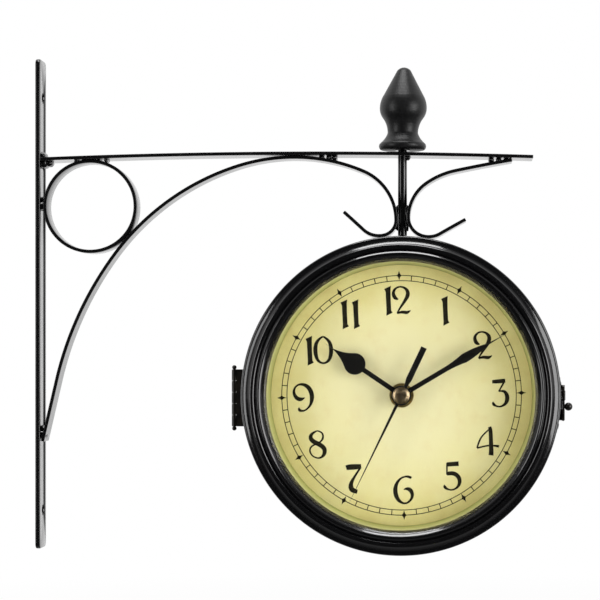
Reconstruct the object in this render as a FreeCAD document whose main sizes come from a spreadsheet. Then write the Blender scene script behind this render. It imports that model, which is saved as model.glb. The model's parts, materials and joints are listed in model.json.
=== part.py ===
# Double sided station clock: a round clamshell case that hangs and turns in a scrolled wall bracket.
# Millimetres. The origin is the middle of the wall plate's back face, +X points away from the wall,
# +Z points up, and the front dial faces -Y.
import FreeCAD, Part
import math
import os
import Sketcher
from FreeCAD import Placement, Rotation, Vector

doc = FreeCAD.newDocument("station_clock")
sheet = doc.addObject("Spreadsheet::Sheet", "sizes")


class Size:
    # A length or angle with its value and the spreadsheet expression behind it.
    def __init__(self, value, text):
        self.value = float(value)
        self.text = text

    def __float__(self):
        return self.value

    def __add__(self, other):
        return Size(self.value + float(other), "(%s + %s)" % (self.text, text_of(other)))

    def __radd__(self, other):
        return Size(float(other) + self.value, "(%s + %s)" % (text_of(other), self.text))

    def __sub__(self, other):
        return Size(self.value - float(other), "(%s - %s)" % (self.text, text_of(other)))

    def __rsub__(self, other):
        return Size(float(other) - self.value, "(%s - %s)" % (text_of(other), self.text))

    def __mul__(self, other):
        return Size(self.value * float(other), "(%s * %s)" % (self.text, text_of(other)))

    __rmul__ = __mul__

    def __truediv__(self, other):
        return Size(self.value / float(other), "(%s / %s)" % (self.text, text_of(other)))

    def __neg__(self):
        return Size(-self.value, "(-%s)" % self.text)


def text_of(amount):
    return amount.text if isinstance(amount, Size) else "%.9g" % amount


def square_root(amount):
    return Size(math.sqrt(float(amount)), "sqrt(%s)" % text_of(amount))


rows = []


def size(alias, value, note):
    # Writes one driving dimension to the next row of the sheet.
    rows.append(alias)
    cell = "B%d" % len(rows)
    sheet.set("A%d" % len(rows), note)
    sheet.set(cell, str(value))
    sheet.setAlias(cell, alias)
    return Size(sheet.getContents(cell), "sizes." + alias)


# Wall bracket
plate_height = size("plate_height", 258, "wall plate, top to bottom")
plate_width = size("plate_width", 16, "wall plate, across")
plate_gauge = size("plate_gauge", 2.5, "wall plate thickness")
plate_corner = size("plate_corner", 3, "radius of the wall plate's corners")
screw_spacing = size("screw_spacing", 218, "between the two screw holes")
screw_hole = size("screw_hole", 3, "radius of a screw hole")
arm_width = size("arm_width", 16, "arm, front to back")
arm_gauge = size("arm_gauge", 1.8, "arm thickness")
arm_reach = size("arm_reach", 262, "from the wall to the arm's free end")
arm_root = size("arm_root", 76.1, "height of the arm's middle at the plate")
arm_tip = size("arm_tip", 77.4, "height of the arm's middle at its free end")
arm_bow = size("arm_bow", 2.4, "how far the arm bows up between its ends")
strip_width = size("strip_width", 12, "ring and scrolls, front to back")
strip_gauge = size("strip_gauge", 1.8, "ring and scroll thickness")
ring_radius = size("ring_radius", 24.7, "outside of the ring")
ring_standoff = size("ring_standoff", 1.3, "between the ring and the wall plate")
rod_reach = size("rod_reach", 193, "from the wall to the axis that the case turns on")
tube_radius = size("tube_radius", 2.4, "outside of the pivot tube")
tube_stand = size("tube_stand", 1.4, "how far the tube stands above the arm")
tube_lift = size("tube_lift", 2.2, "from the top of the case to the foot of the tube")
crest_radius = size("crest_radius", 93, "long scroll, over the top towards the rod")
crest_turn = size("crest_turn", 23, "degrees of that bend")
shoulder_radius = size("shoulder_radius", 28.1, "long scroll, down to the pivot tube")
curl_radius = size("curl_radius", 8, "long scroll, first half of its curl")
curl_turn = size("curl_turn", 75, "degrees of that bend")
hook_radius = size("hook_radius", 12, "long scroll, second half of its curl")
hook_turn = size("hook_turn", 58, "degrees of that bend")
tail_radius = size("tail_radius", 600, "long scroll, last bend")
tail_turn = size("tail_turn", 1.33, "degrees of that bend")
back_radius = size("back_radius", 98.4, "long scroll, from its crest towards the wall")
back_turn = size("back_turn", 17.5, "degrees of that bend")
flank_radius = size("flank_radius", 129.4, "long scroll, past the ring")
flank_turn = size("flank_turn", 36, "degrees of that bend")
foot_radius = size("foot_radius", 180.1, "long scroll, above its straight foot")
foot_turn = size("foot_turn", 23.9, "degrees of that bend")
rise_radius = size("rise_radius", 22, "short scroll, up from the pivot tube")
rise_turn = size("rise_turn", 55, "degrees of that bend")
reach_radius = size("reach_radius", 41.8, "short scroll, towards the arm's end")
reach_turn = size("reach_turn", 23, "degrees of that bend")
end_radius = size("end_radius", 699, "short scroll, along the arm")
end_turn = size("end_turn", 2.5, "degrees of that bend")
loop_radius = size("loop_radius", 10, "short scroll, first half of its curl")
loop_turn = size("loop_turn", 70, "degrees of that bend")
lobe_radius = size("lobe_radius", 12, "short scroll, second half of its curl")
lobe_turn = size("lobe_turn", 50, "degrees of that bend")
flick_radius = size("flick_radius", 600, "short scroll, last bend")
flick_turn = size("flick_turn", 1.47, "degrees of that bend")
bead_radius = size("bead_radius", 1.9, "a weld bead")

# Hanger
rod_radius = size("rod_radius", 1.5, "hanger rod")
running_fit = size("running_fit", 0.06, "radial clearance of a shaft in its hole")
washer_gauge = size("washer_gauge", 0.5, "hanger washer thickness")
washer_radius = size("washer_radius", 4, "hanger washer")
nut_radius = size("nut_radius", 3.2, "hanger nut across its corners, halved")
nut_height = size("nut_height", 1.6, "hanger nut")
rod_grip = size("rod_grip", 18, "how far the rod screws into the finial")
finial_height = size("finial_height", 43.6, "finial, foot to tip")
finial_foot = size("finial_foot", 11.6, "radius of the finial's flat foot")
finial_flange = size("finial_flange", 12.5, "radius of the finial's foot flange")
finial_neck = size("finial_neck", 8.05, "radius of the finial's neck")
neck_rise = size("neck_rise", 8.8, "height of the neck above the foot")
finial_belly = size("finial_belly", 12.45, "radius of the finial's belly")
finial_hollow = size("finial_hollow", 0.6, "share of the swell from neck to belly that is hollow")
belly_rise = size("belly_rise", 22, "height of the belly above the foot")
finial_shoulder = size("finial_shoulder", 10.4, "radius where the finial's taper starts")
shoulder_rise = size("shoulder_rise", 29.1, "height of that place above the foot")
finial_nose = size("finial_nose", 3.6, "radius where the finial's round tip starts")
nose_rise = size("nose_rise", 41.9, "height of that place above the foot")

# Case
rim_radius = size("rim_radius", 82, "outside of the case")
case_rise = size("case_rise", 34, "top of the case above the middle of the wall plate")
case_drop = rim_radius - case_rise
shell_gauge = size("shell_gauge", 0.9, "case wall")
seam_offset = size("seam_offset", 7, "the seam in front of the rod's axis")
seam_gap = size("seam_gap", 0.2, "between the two halves when shut")
shoulder_depth = size("shoulder_depth", 34.5, "from the rod's axis to the flat band of the bezel")
corner_radius = size("corner_radius", 1.3, "round outer corner of the case")
band_width = size("band_width", 4.1, "flat band of the bezel, outside the moulding")
moulding_outer = rim_radius - band_width
moulding_width = size("moulding_width", 3.2, "half round moulding")
moulding_inner = moulding_outer - moulding_width
moulding_depth = size("moulding_depth", 36, "from the rod's axis to the moulding's foot")
moulding_ease = size("moulding_ease", 0.15, "how much flatter than a half round its section is")
moulding_round = moulding_width / 2 + moulding_ease
groove_width = size("groove_width", 1.3, "between the moulding and the step")
step_radius = moulding_inner - groove_width
step_depth = size("step_depth", 37.2, "from the rod's axis to that step")
flare_width = size("flare_width", 4.4, "bezel's slope from the step to its opening")
lip_radius = step_radius - flare_width
lip_depth = size("lip_depth", 32.6, "from the rod's axis to the edge of the opening")
flare_round = size("flare_round", 9, "radius of the bezel's inner slope")
glass_lap = size("glass_lap", 3, "how far the bezel holds the glass")
glass_radius = lip_radius + glass_lap
glass_gauge = size("glass_gauge", 2, "glass thickness")
dial_depth = size("dial_depth", 17, "from the rod's axis to the face of a dial")
dial_gauge = size("dial_gauge", 0.6, "dial plate thickness")
sight_lap = size("sight_lap", 1.1, "how far the spacer ring stands in past the bezel")
sight_radius = lip_radius - sight_lap
ring_flange = size("ring_flange", 1.3, "thickness of the spacer ring's foot")
seat_play = size("seat_play", 0.05, "between pieces that sit against each other")
lug_reach = size("lug_reach", 3, "how far a dial lug stands in from the drum")
lug_width = size("lug_width", 6, "dial lug")

# Hinge and hasp
hinge_standoff = size("hinge_standoff", 6.3, "from the drum to the hinge pin")
hinge_reach = rim_radius + hinge_standoff
hinge_height = size("hinge_height", 30, "hinge leaf")
hinge_drop = size("hinge_drop", 1.5, "middle of the hinge below the middle of the case")
leaf_gauge = size("leaf_gauge", 0.9, "hinge leaf and hasp plate thickness")
leaf_wrap = size("leaf_wrap", 9, "how far a leaf lies along the drum")
knuckle_radius = size("knuckle_radius", 1.35, "hinge knuckle")
pin_radius = size("pin_radius", 0.75, "hinge pin")
pin_head = size("pin_head", 1.2, "ball at each end of the hinge pin")
knuckle_play = size("knuckle_play", 0.2, "between moving pieces of the hinge and the hasp")
hasp_drop = size("hasp_drop", 5, "middle of the hasp plates below the middle of the case")
hasp_height = size("hasp_height", 29, "hasp plates")
hasp_wrap = size("hasp_wrap", 13.5, "how far a hasp plate lies along the drum")
flap_height = size("flap_height", 18.8, "hasp flap")
flap_lift = size("flap_lift", 1.9, "inside of the flap outside the drum")
flap_reach = size("flap_reach", 13.5, "from the flap's pin to its free end")
flap_pin = size("flap_pin", 0.6, "radius of the flap's pin")
flap_slot = size("flap_slot", 6.6, "height of the notch round the staple")
staple_wire = size("staple_wire", 0.7, "radius of the staple's wire")
staple_span = size("staple_span", 4.2, "between the middles of the staple's legs")
staple_rise = size("staple_rise", 3.5, "top of the staple above the drum")
knob_ball = size("knob_ball", 2.15, "radius of the knob on the flap")
rivet_radius = size("rivet_radius", 0.9, "rivet shank")
rivet_head = size("rivet_head", 1.5, "rivet head")
rivet_rise = size("rivet_rise", 0.6, "height of a rivet head")

# Movement
housing_half = size("housing_half", 28, "half the width of the movement housing")
housing_front = size("housing_front", 15.6, "from the rod's axis to the housing's dial side")
housing_back = size("housing_back", 0.9, "from the rod's axis to the housing's back")
housing_wall = size("housing_wall", 1.5, "housing wall and cover")
bushing_radius = size("bushing_radius", 4, "threaded bushing")
bushing_reach = size("bushing_reach", 20.3, "from the rod's axis to the end of the bushing")
dial_nut_radius = size("dial_nut_radius", 6.3, "nut on the bushing across its corners, halved")
dial_nut_height = size("dial_nut_height", 2.2, "nut on the bushing")
rubber_gauge = size("rubber_gauge", 0.8, "rubber washer between dial and movement")
hour_pipe = size("hour_pipe", 2.55, "outside of the hour wheel's pipe")
minute_pipe = size("minute_pipe", 1.75, "outside of the minute wheel's pipe")
second_arbor = size("second_arbor", 0.5, "seconds arbor")
battery_radius = size("battery_radius", 7.1, "battery")
battery_length = size("battery_length", 49.2, "battery without its button")
train_step = size("train_step", 6, "between the hands' axis and the motion wheel")
seconds_step = size("seconds_step", 7.2, "between the hands' axis and the step wheel")
rotor_step = size("rotor_step", 5.6, "between the step wheel and the rotor")
motion_direction = size("motion_direction", 0, "degrees, the motion wheel seen from the hands' axis")
knob_direction = size("knob_direction", 60, "degrees, the setting knob seen from the motion wheel")
step_direction = size("step_direction", 135, "degrees, the step wheel seen from the hands' axis")
knob_radius = size("knob_radius", 6, "setting knob")
wheel_gauge = size("wheel_gauge", 0.8, "thickness of a wheel")
arbor_radius = size("arbor_radius", 0.4, "arbor of a small wheel")
magnet_radius = size("magnet_radius", 2, "rotor magnet")

# Hands
hand_gauge = size("hand_gauge", 0.5, "thickness of a hand")
hour_level = size("hour_level", 21.4, "from the rod's axis to the back of the hour hand")
minute_level = size("minute_level", 23.3, "from the rod's axis to the back of the minute hand")
second_level = size("second_level", 25.2, "from the rod's axis to the back of the second hand")
hour_length = size("hour_length", 46.8, "hour hand, axis to tip")
hour_bulb = size("hour_bulb", 28.8, "middle of the hour hand's round bulb")
bulb_radius = size("bulb_radius", 4.9, "that bulb")
minute_margin = size("minute_margin", 4.7, "between the minute hand's tip and the spacer ring")
minute_length = sight_radius - minute_margin
leaf_start = size("leaf_start", 25.9, "where the minute hand starts to widen")
leaf_middle = size("leaf_middle", 37.8, "where the minute hand is widest")
leaf_end = size("leaf_end", 51.8, "where the minute hand becomes a needle")
leaf_half = size("leaf_half", 2.45, "half the minute hand's greatest width")
shaft_half = size("shaft_half", 1.25, "half the width of the hour and minute hands' shafts")
second_margin = size("second_margin", 4.5, "between the second hand's tip and the spacer ring")
second_length = sight_radius - second_margin
tail_length = size("tail_length", 27.5, "second hand's tail")
tail_half = size("tail_half", 1.8, "half the width of that tail")
hub_radius = size("hub_radius", 5.1, "black disc under the cap")
cap_radius = size("cap_radius", 4.4, "brass cap")
cap_height = size("cap_height", 1.3, "brass cap")
hour_angle = size("hour_angle", 304.1, "degrees past twelve, hour hand")
minute_angle = size("minute_angle", 59.3, "degrees past twelve, minute hand")
second_angle = size("second_angle", 205.4, "degrees past twelve, second hand")
doc.recompute()

case_height = -case_drop
case_top = rim_radius - case_drop
full_turn = 360
along_x = Rotation(Vector(0, 1, 0), 90)
along_y = Rotation(Vector(1, 0, 0), -90)
about_face = Rotation(Vector(0, 0, 1), 180)
pieces = []


def bind(thing, path, amount):
    thing.setExpression(path, text_of(amount))


def place(thing, across=0, back=0, up=0, turn=None):
    thing.Placement = Placement(Vector(), turn or Rotation())
    bind(thing, "Placement.Base.x", across)
    bind(thing, "Placement.Base.y", back)
    bind(thing, "Placement.Base.z", up)
    return thing


def keep(thing):
    # Counts a finished piece of the clock in, under its own name.
    thing.Label = thing.Name
    pieces.append(thing)
    return thing


# Solids made of primitives

def cylinder(name, radius, height, across=0, back=0, up=0, turn=None):
    thing = doc.addObject("Part::Cylinder", name)
    bind(thing, "Radius", radius)
    bind(thing, "Height", height)
    return place(thing, across, back, up, turn)


def shaft(name, radius, front, back, across=0, up=0):
    # A cylinder along Y between two depths.
    return cylinder(name, radius, back - front, across, front, up, along_y)


def block(name, left, right, front, back, low, high):
    thing = doc.addObject("Part::Box", name)
    bind(thing, "Length", right - left)
    bind(thing, "Width", back - front)
    bind(thing, "Height", high - low)
    return place(thing, left, front, low)


def ball(name, radius, across=0, back=0, up=0):
    thing = doc.addObject("Part::Sphere", name)
    bind(thing, "Radius", radius)
    return place(thing, across, back, up)


def hexagon(name, radius, height, across=0, back=0, up=0, turn=None):
    thing = doc.addObject("Part::Prism", name)
    thing.Polygon = 6
    bind(thing, "Circumradius", radius)
    bind(thing, "Height", height)
    return place(thing, across, back, up, turn)


def fuse(name, *things):
    joined = doc.addObject("Part::MultiFuse", name)
    joined.Shapes = list(things)
    return joined


def cut(name, base, *tools):
    rest = doc.addObject("Part::Cut", name)
    rest.Base = base
    rest.Tool = tools[0] if len(tools) == 1 else fuse(name + "_tools", *tools)
    return rest


def common(name, base, tool):
    shared = doc.addObject("Part::Common", name)
    shared.Base = base
    shared.Tool = tool
    return shared


def group(name, *things):
    # Separate solids that share one node.
    gathered = doc.addObject("Part::Compound", name)
    gathered.Links = list(things)
    return gathered


def shaped(name, shape):
    thing = doc.addObject("Part::Feature", name)
    thing.Shape = shape
    return thing


# Solids made of sketches

def plane_of(body, role):
    return next(plane for plane in body.Origin.OriginFeatures if plane.Role == role)


def sketch_on(body, role, lift=0):
    sketch = body.newObject("Sketcher::SketchObject", body.Name + "_sketch")
    sketch.AttachmentSupport = (plane_of(body, role), [""])
    sketch.MapMode = "FlatFace"
    bind(sketch, "AttachmentOffset.Base.z", lift)
    return sketch


def arc_between(start, end, turn):
    # An arc that turns left from start to end where turn is positive, and right where negative.
    chord = end - start
    left = Vector(-chord.y, chord.x, 0).normalize()
    radius = abs(turn)
    rise = math.sqrt(max(radius ** 2 - (chord.Length / 2) ** 2, 0))
    centre = (start + end) / 2 + left * math.copysign(rise, turn)
    first, last = (start, end) if turn > 0 else (end, start)
    angles = [math.atan2(spot.y - centre.y, spot.x - centre.x) for spot in (first, last)]
    if angles[1] < angles[0]:
        angles[1] += 2 * math.pi
    return Part.ArcOfCircle(Part.Circle(centre, Vector(0, 0, 1), radius), *angles)


def draw(sketch, corners):
    # One closed outline. A corner is (across, up), with a third number where the edge that
    # arrives there is an arc: its radius, positive for a left turn and negative for a right one.
    spots = [Vector(float(corner[0]), float(corner[1]), 0) for corner in corners]
    count = len(corners)
    offset = sketch.GeometryCount
    ends = []
    for number in range(count):
        following = (number + 1) % count
        turn = float(corners[following][2]) if len(corners[following]) > 2 else 0
        if turn:
            sketch.addGeometry(arc_between(spots[number], spots[following], turn), False)
        else:
            sketch.addGeometry(Part.LineSegment(spots[number], spots[following]), False)
        ends.append((2, 1) if turn < 0 else (1, 2))
    for number, corner in enumerate(corners):
        following = (number + 1) % count
        edge = offset + number
        joint = Sketcher.Constraint("Coincident", edge, ends[number][1], offset + following,
                                    ends[following][0])
        sketch.addConstraint(joint)
        for kind, amount in (("DistanceX", corner[0]), ("DistanceY", corner[1])):
            datum = Sketcher.Constraint(kind, -1, 1, edge, ends[number][0], float(amount))
            bind(sketch, "Constraints[%d]" % sketch.addConstraint(datum), amount)
        if len(corners[following]) > 2:
            radius = corners[following][2]
            radius = radius if float(radius) > 0 else -radius
            bend = Sketcher.Constraint("Radius", edge, float(radius))
            bind(sketch, "Constraints[%d]" % sketch.addConstraint(bend), radius)
    return sketch


def circles(sketch, *rounds):
    # Circles given as (across, up, radius).
    for across, up, radius in rounds:
        centre = Vector(float(across), float(up), 0)
        edge = sketch.addGeometry(Part.Circle(centre, Vector(0, 0, 1), float(radius)), False)
        bend = sketch.addConstraint(Sketcher.Constraint("Radius", edge, float(radius)))
        bind(sketch, "Constraints[%d]" % bend, radius)
        for kind, amount in (("DistanceX", across), ("DistanceY", up)):
            datum = Sketcher.Constraint(kind, -1, 1, edge, 3, float(amount))
            bind(sketch, "Constraints[%d]" % sketch.addConstraint(datum), amount)
    return sketch


def new_body(name):
    return doc.addObject("PartDesign::Body", name)


def pad(body, sketch, length, both_ways=False):
    feature = body.newObject("PartDesign::Pad", body.Name + "_pad")
    feature.Profile = sketch
    bind(feature, "Length", length)
    feature.SideType = "Symmetric" if both_ways else "One side"
    return feature


def pocket(body, sketch, reverse=False):
    doc.recompute()
    before = body.Shape.Volume
    feature = body.newObject("PartDesign::Pocket", body.Name + "_pocket")
    feature.Profile = sketch
    feature.Type = "ThroughAll"
    feature.Reversed = reverse
    doc.recompute()
    if not body.Shape.Volume < before:
        raise ValueError(body.Name + ": a pocket cuts nothing")
    return feature


def turned(name, role, corners):
    # A body turned about its sketch's vertical axis.
    body = new_body(name)
    sketch = draw(sketch_on(body, role), corners)
    feature = body.newObject("PartDesign::Revolution", name + "_turn")
    feature.Profile = sketch
    feature.ReferenceAxis = (sketch, ["V_Axis"])
    feature.Angle = full_turn
    return body


def flat(name, corners, depth, gauge):
    # A plate that faces -Y, with its back at a depth in front of the rod's axis.
    body = new_body(name)
    pad(body, draw(sketch_on(body, "XZ_Plane", depth), corners), gauge)
    return body


def box_corners(left, right, low, high):
    return ((left, low), (right, low), (right, high), (left, high))


# Wall bracket

def make_wall_plate():
    body = new_body("wall_plate")
    half, tall, corner = plate_width / 2, plate_height / 2, plate_corner
    corners = (
        (corner - half, -tall, corner),
        (half - corner, -tall),
        (half, corner - tall, corner),
        (half, tall - corner),
        (half - corner, tall, corner),
        (corner - half, tall),
        (-half, tall - corner, corner),
        (-half, corner - tall),
    )
    sketch = draw(sketch_on(body, "YZ_Plane"), corners)
    circles(sketch, (0, screw_spacing / 2, screw_hole), (0, -screw_spacing / 2, screw_hole))
    pad(body, sketch, plate_gauge)
    return keep(body)


def arm_curve_radius():
    run, climb = arm_reach - plate_gauge, arm_tip - arm_root
    return (run * run + climb * climb) / (8 * arm_bow) + arm_bow / 2


def arm_height(across):
    # Height of the arm's middle line at a distance from the wall.
    start = Vector(float(plate_gauge), float(arm_root), 0)
    end = Vector(float(arm_reach), float(arm_tip), 0)
    circle = arc_between(start, end, -float(arm_curve_radius()))
    return circle.Center.y + math.sqrt(circle.Radius ** 2 - (across - circle.Center.x) ** 2)


def make_arm():
    body = new_body("arm_bar")
    half, bend = arm_gauge / 2, arm_curve_radius()
    corners = (
        (plate_gauge, arm_root - half),
        (arm_reach, arm_tip - half, -bend),
        (arm_reach, arm_tip + half),
        (plate_gauge, arm_root + half, bend),
    )
    pad(body, draw(sketch_on(body, "XZ_Plane"), corners), arm_width, both_ways=True)
    hole = circles(sketch_on(body, "XY_Plane"), (rod_reach, 0, tube_radius + seat_play))
    pocket(body, hole, reverse=True)
    return keep(body)


def follow(start, heading, bends):
    # The middle line of a bent strip as (start, end, centre, radius, turn) runs, from a start
    # point, a heading in degrees and a (radius, turn) for each bend, left turns positive.
    runs = []
    for radius, turn in bends:
        side = heading + math.copysign(90, turn)
        centre = start + Vector(math.cos(math.radians(side)), 0, math.sin(math.radians(side))) * radius
        end = centre + Rotation(Vector(0, 1, 0), -turn).multVec(start - centre)
        runs.append((start, end, centre, radius, turn))
        start, heading = end, heading + turn
    return runs, start, heading


def strip_along(runs, tail=None):
    # A flat strip of the strip's gauge and width that follows the runs, then a straight tail.
    half = float(strip_gauge) / 2
    solids = []
    for start, end, centre, radius, turn in runs:
        middle = centre + Rotation(Vector(0, 1, 0), -turn / 2).multVec(start - centre)
        rims = []
        for shift in (-half, half):
            scale = (radius + shift) / radius
            rims.append([centre + (spot - centre) * scale for spot in (start, middle, end)])
        inner, outer = rims
        wire = Part.Wire([
            Part.Arc(*outer).toShape(),
            Part.LineSegment(outer[2], inner[2]).toShape(),
            Part.Arc(*reversed(inner)).toShape(),
            Part.LineSegment(inner[0], outer[0]).toShape(),
        ])
        solids.append(Part.Face(wire))
    if tail:
        start, end = tail
        aside = (end - start).cross(Vector(0, 1, 0)).normalize() * half
        loop = [start + aside, end + aside, end - aside, start - aside, start + aside]
        solids.append(Part.Face(Part.makePolygon(loop)))
    width = Vector(0, float(strip_width), 0)
    blocks = [face.extrude(width) for face in solids]
    joined = blocks[0].multiFuse(blocks[1:]).removeSplitter()
    joined.translate(-width / 2)
    return joined


def scroll_contact(side):
    # Where a scroll's middle line runs upright past the pivot tube: -1 wall side, 1 free side.
    return float(rod_reach + side * (tube_radius + strip_gauge / 2))


def make_long_scroll():
    run_down = ((crest_radius, -crest_turn), (shoulder_radius, crest_turn - 90))
    curl = ((curl_radius, -curl_turn), (hook_radius, -hook_turn), (tail_radius, tail_turn))
    climb = ((back_radius, back_turn), (flank_radius, flank_turn), (foot_radius, foot_turn))
    to_tube = follow(Vector(), 0, [(float(r), float(a)) for r, a in run_down])[1]
    crest_reach = scroll_contact(-1) - to_tube.x
    under_arm = arm_height(crest_reach) - float(arm_gauge + strip_gauge) / 2 - float(seat_play)
    crest = Vector(crest_reach, 0, under_arm)
    forward = follow(crest, 0, [(float(r), float(a)) for r, a in run_down + curl])[0]
    backward, low, heading = follow(crest, 180, [(float(r), float(a)) for r, a in climb])
    slope = math.radians(heading)
    reach = float(plate_gauge) - float(strip_gauge) / 2 * math.sin(slope)
    foot = low + Vector(1, 0, math.tan(slope)) * (reach - low.x)
    strip = shaped("long_scroll", strip_along(forward + backward, (low, foot)))
    return keep(strip), foot, crest


def make_short_scroll():
    rise = ((rise_radius, -rise_turn), (reach_radius, -reach_turn), (end_radius, -end_turn))
    curl = ((loop_radius, loop_turn), (lobe_radius, lobe_turn), (flick_radius, -flick_turn))
    contact = scroll_contact(1)
    end = follow(Vector(contact, 0, 0), 90, [(float(r), float(a)) for r, a in rise])[1]
    top = arm_height(end.x) - float(arm_gauge + strip_gauge) / 2 - float(seat_play)
    start = Vector(contact, 0, top - end.z)
    upward = follow(start, 90, [(float(r), float(a)) for r, a in rise])[0]
    downward = follow(start, -90, [(float(r), float(a)) for r, a in curl])[0]
    strip = shaped("short_scroll", strip_along(upward + downward))
    return keep(strip), start, end + Vector(0, 0, start.z)


def make_ring():
    body = new_body("ring")
    across = plate_gauge + ring_standoff + ring_radius
    up = arm_height(float(across)) - float(arm_gauge) / 2 - ring_radius - seat_play
    sketch = sketch_on(body, "XZ_Plane")
    circles(sketch, (across, up, ring_radius), (across, up, ring_radius - strip_gauge))
    pad(body, sketch, strip_width, both_ways=True)
    return keep(body), Vector(float(across), 0, float(up))


def make_pivot_tube():
    tube_foot = case_top + tube_lift
    tube_top = Size(arm_height(float(rod_reach)), "%.6f" % arm_height(float(rod_reach)))
    tube_top = tube_top + arm_gauge / 2 + tube_stand
    outside = cylinder("tube_outside", tube_radius, tube_top - tube_foot, rod_reach, 0, tube_foot)
    bore = cylinder("tube_bore", rod_radius + running_fit, tube_top - tube_foot, rod_reach, 0, tube_foot)
    return keep(cut("pivot_tube", outside, bore)), tube_top


def bead(spot, length, radius, along=Vector(0, 1, 0)):
    # A weld bead with round ends, turned as one solid with its middle at the spot.
    half, slant = length / 2, radius * math.sqrt(0.5)
    low, high = Vector(0, 0, -half - radius), Vector(0, 0, half + radius)
    under, over = Vector(radius, 0, -half), Vector(radius, 0, half)
    edges = [
        Part.Arc(low, Vector(slant, 0, -half - slant), under).toShape(),
        Part.makeLine(under, over),
        Part.Arc(over, Vector(slant, 0, half + slant), high).toShape(),
        Part.makeLine(high, low),
    ]
    blank = Part.Face(Part.Wire(edges)).revolve(Vector(), Vector(0, 0, 1), 360)
    blank.Placement = Placement(spot, Rotation(Vector(0, 0, 1), along))
    return blank


least_bead = 1  # cubic mm, smaller scraps are ground off


def make_welds(steel, ring_middle, foot, crest, contact, short_end):
    radius, gauge, width = float(bead_radius), float(strip_gauge), float(strip_width)
    face, root = float(plate_gauge), float(arm_root)
    across = width - 3 * radius
    upright = Vector(0, 0, 1)
    tube_side = float(tube_radius)
    under_arm = float(arm_gauge) / 2
    beads = [
        bead(Vector(face, 0, root + under_arm + radius / 2), across, radius * 1.3),
        bead(Vector(face + radius / 2, 0, root - under_arm - radius / 2), across, radius * 1.3),
        bead(Vector(face + 2 * radius, 0, root - under_arm - radius / 3), across / 2, radius),
        bead(Vector(face + radius / 2, 0, ring_middle.z), across, radius),
        bead(Vector(face + radius / 2, 0, ring_middle.z + 2 * radius), across, radius * 0.8),
        bead(Vector(face + radius / 2, 0, foot.z + radius), across, radius),
        bead(Vector(face + radius / 2, 0, foot.z + 3 * radius), across, radius * 0.9),
    ]
    for aside in (-8, 8):
        reach = ring_middle.x + aside
        beads.append(bead(Vector(reach, 0, arm_height(reach) - under_arm - radius / 4), across, radius / 2))
    for reach in (crest.x + 18, short_end.x - 7):
        beads.append(bead(Vector(reach, 0, arm_height(reach) - under_arm - radius / 2), across, radius * 0.8))
    collar = arm_height(float(rod_reach)) - under_arm
    beads.append(bead(Vector(float(rod_reach) + tube_side + 0.4, 0, collar - 0.4), 2, radius * 0.8))
    for side in (-1, 1):
        for depth in (-1, 1):
            spot = Vector(float(rod_reach) + side * tube_side, depth * tube_side * 0.75, contact.z)
            beads.append(bead(spot, 6 * radius, radius / 2, upright))
    beads.append(bead(Vector(ring_middle.x, 0, ring_middle.z) + ring_weld_offset(), across, radius * 0.8))
    clear = []
    for welded in beads:
        for shape in steel:
            welded = welded.cut(shape)
        clear += [lump for lump in welded.Solids if lump.Volume > least_bead]
    welds = clear[0].multiFuse(clear[1:])
    keep(shaped("weld_beads", Part.makeCompound(welds.Solids)))


def tube_room():
    # The space of the tube, and of its hole through the arm, which no weld fills.
    box = pivot_tube.Shape.BoundBox
    foot = Vector(float(rod_reach), 0, box.ZMin)
    under_arm = Vector(float(rod_reach), 0, arm_height(float(rod_reach)) - float(arm_gauge))
    tube = Part.makeCylinder(float(tube_radius), box.ZLength, foot)
    return [tube, Part.makeCylinder(float(tube_radius + seat_play), box.ZMax - under_arm.z, under_arm)]


def ring_weld_offset():
    # From the ring's middle to where it comes nearest to the long scroll.
    direction = math.radians(-33)
    return Vector(math.cos(direction), 0, math.sin(direction)) * (float(ring_radius) + 0.3)


wall_plate = make_wall_plate()
arm_bar = make_arm()
long_scroll, scroll_foot, scroll_crest = make_long_scroll()
short_scroll, short_contact, short_end = make_short_scroll()
ring, ring_middle = make_ring()
pivot_tube, tube_top = make_pivot_tube()
doc.recompute()
bracket_steel = [piece.Shape for piece in (wall_plate, arm_bar, long_scroll, short_scroll, ring)]
make_welds(bracket_steel + tube_room(), ring_middle, scroll_foot, scroll_crest, short_contact, short_end)


# Hanger

def make_finial():
    foot, bore = tube_top + seat_play + washer_gauge, rod_radius + seat_play
    flange_rise = (finial_flange - finial_foot) * 2
    belly = finial_belly - finial_neck
    belly_climb = belly_rise - neck_rise
    swell = (belly * belly + belly_climb * belly_climb) / (2 * belly)
    shoulder = finial_belly - finial_shoulder
    shoulder_climb = shoulder_rise - belly_rise
    nose_drop = finial_height - nose_rise
    corners = (
        (bore, 0),
        (finial_foot, 0),
        (finial_flange, flange_rise, flange_rise * 1.2),
        (finial_foot, flange_rise * 2, flange_rise * 1.2),
        (finial_neck, neck_rise, -(neck_rise - flange_rise) * 1.6),
        (finial_neck + belly * float(finial_hollow), neck_rise + belly_climb * float(finial_hollow),
         -swell * float(finial_hollow)),
        (finial_belly, belly_rise, swell * (1 - float(finial_hollow))),
        (finial_shoulder, shoulder_rise,
         (shoulder * shoulder + shoulder_climb * shoulder_climb) / (2 * shoulder)),
        (finial_nose, nose_rise),
        (0, finial_height, (finial_nose * finial_nose + nose_drop * nose_drop) / (2 * nose_drop)),
        (0, rod_grip + 2),
        (bore, rod_grip + 2),
    )
    body = turned("finial", "XZ_Plane", corners)
    keep(place(body, rod_reach, 0, foot))


def bored(name, blank, height, low):
    # A blank with the rod's hole through it.
    return cut(name, blank, cylinder(name + "_hole", rod_radius + seat_play, height, rod_reach, 0, low))


def washer_of(name, low):
    disc = cylinder(name + "_disc", washer_radius, washer_gauge, rod_reach, 0, low)
    return bored(name, disc, washer_gauge, low)


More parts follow.
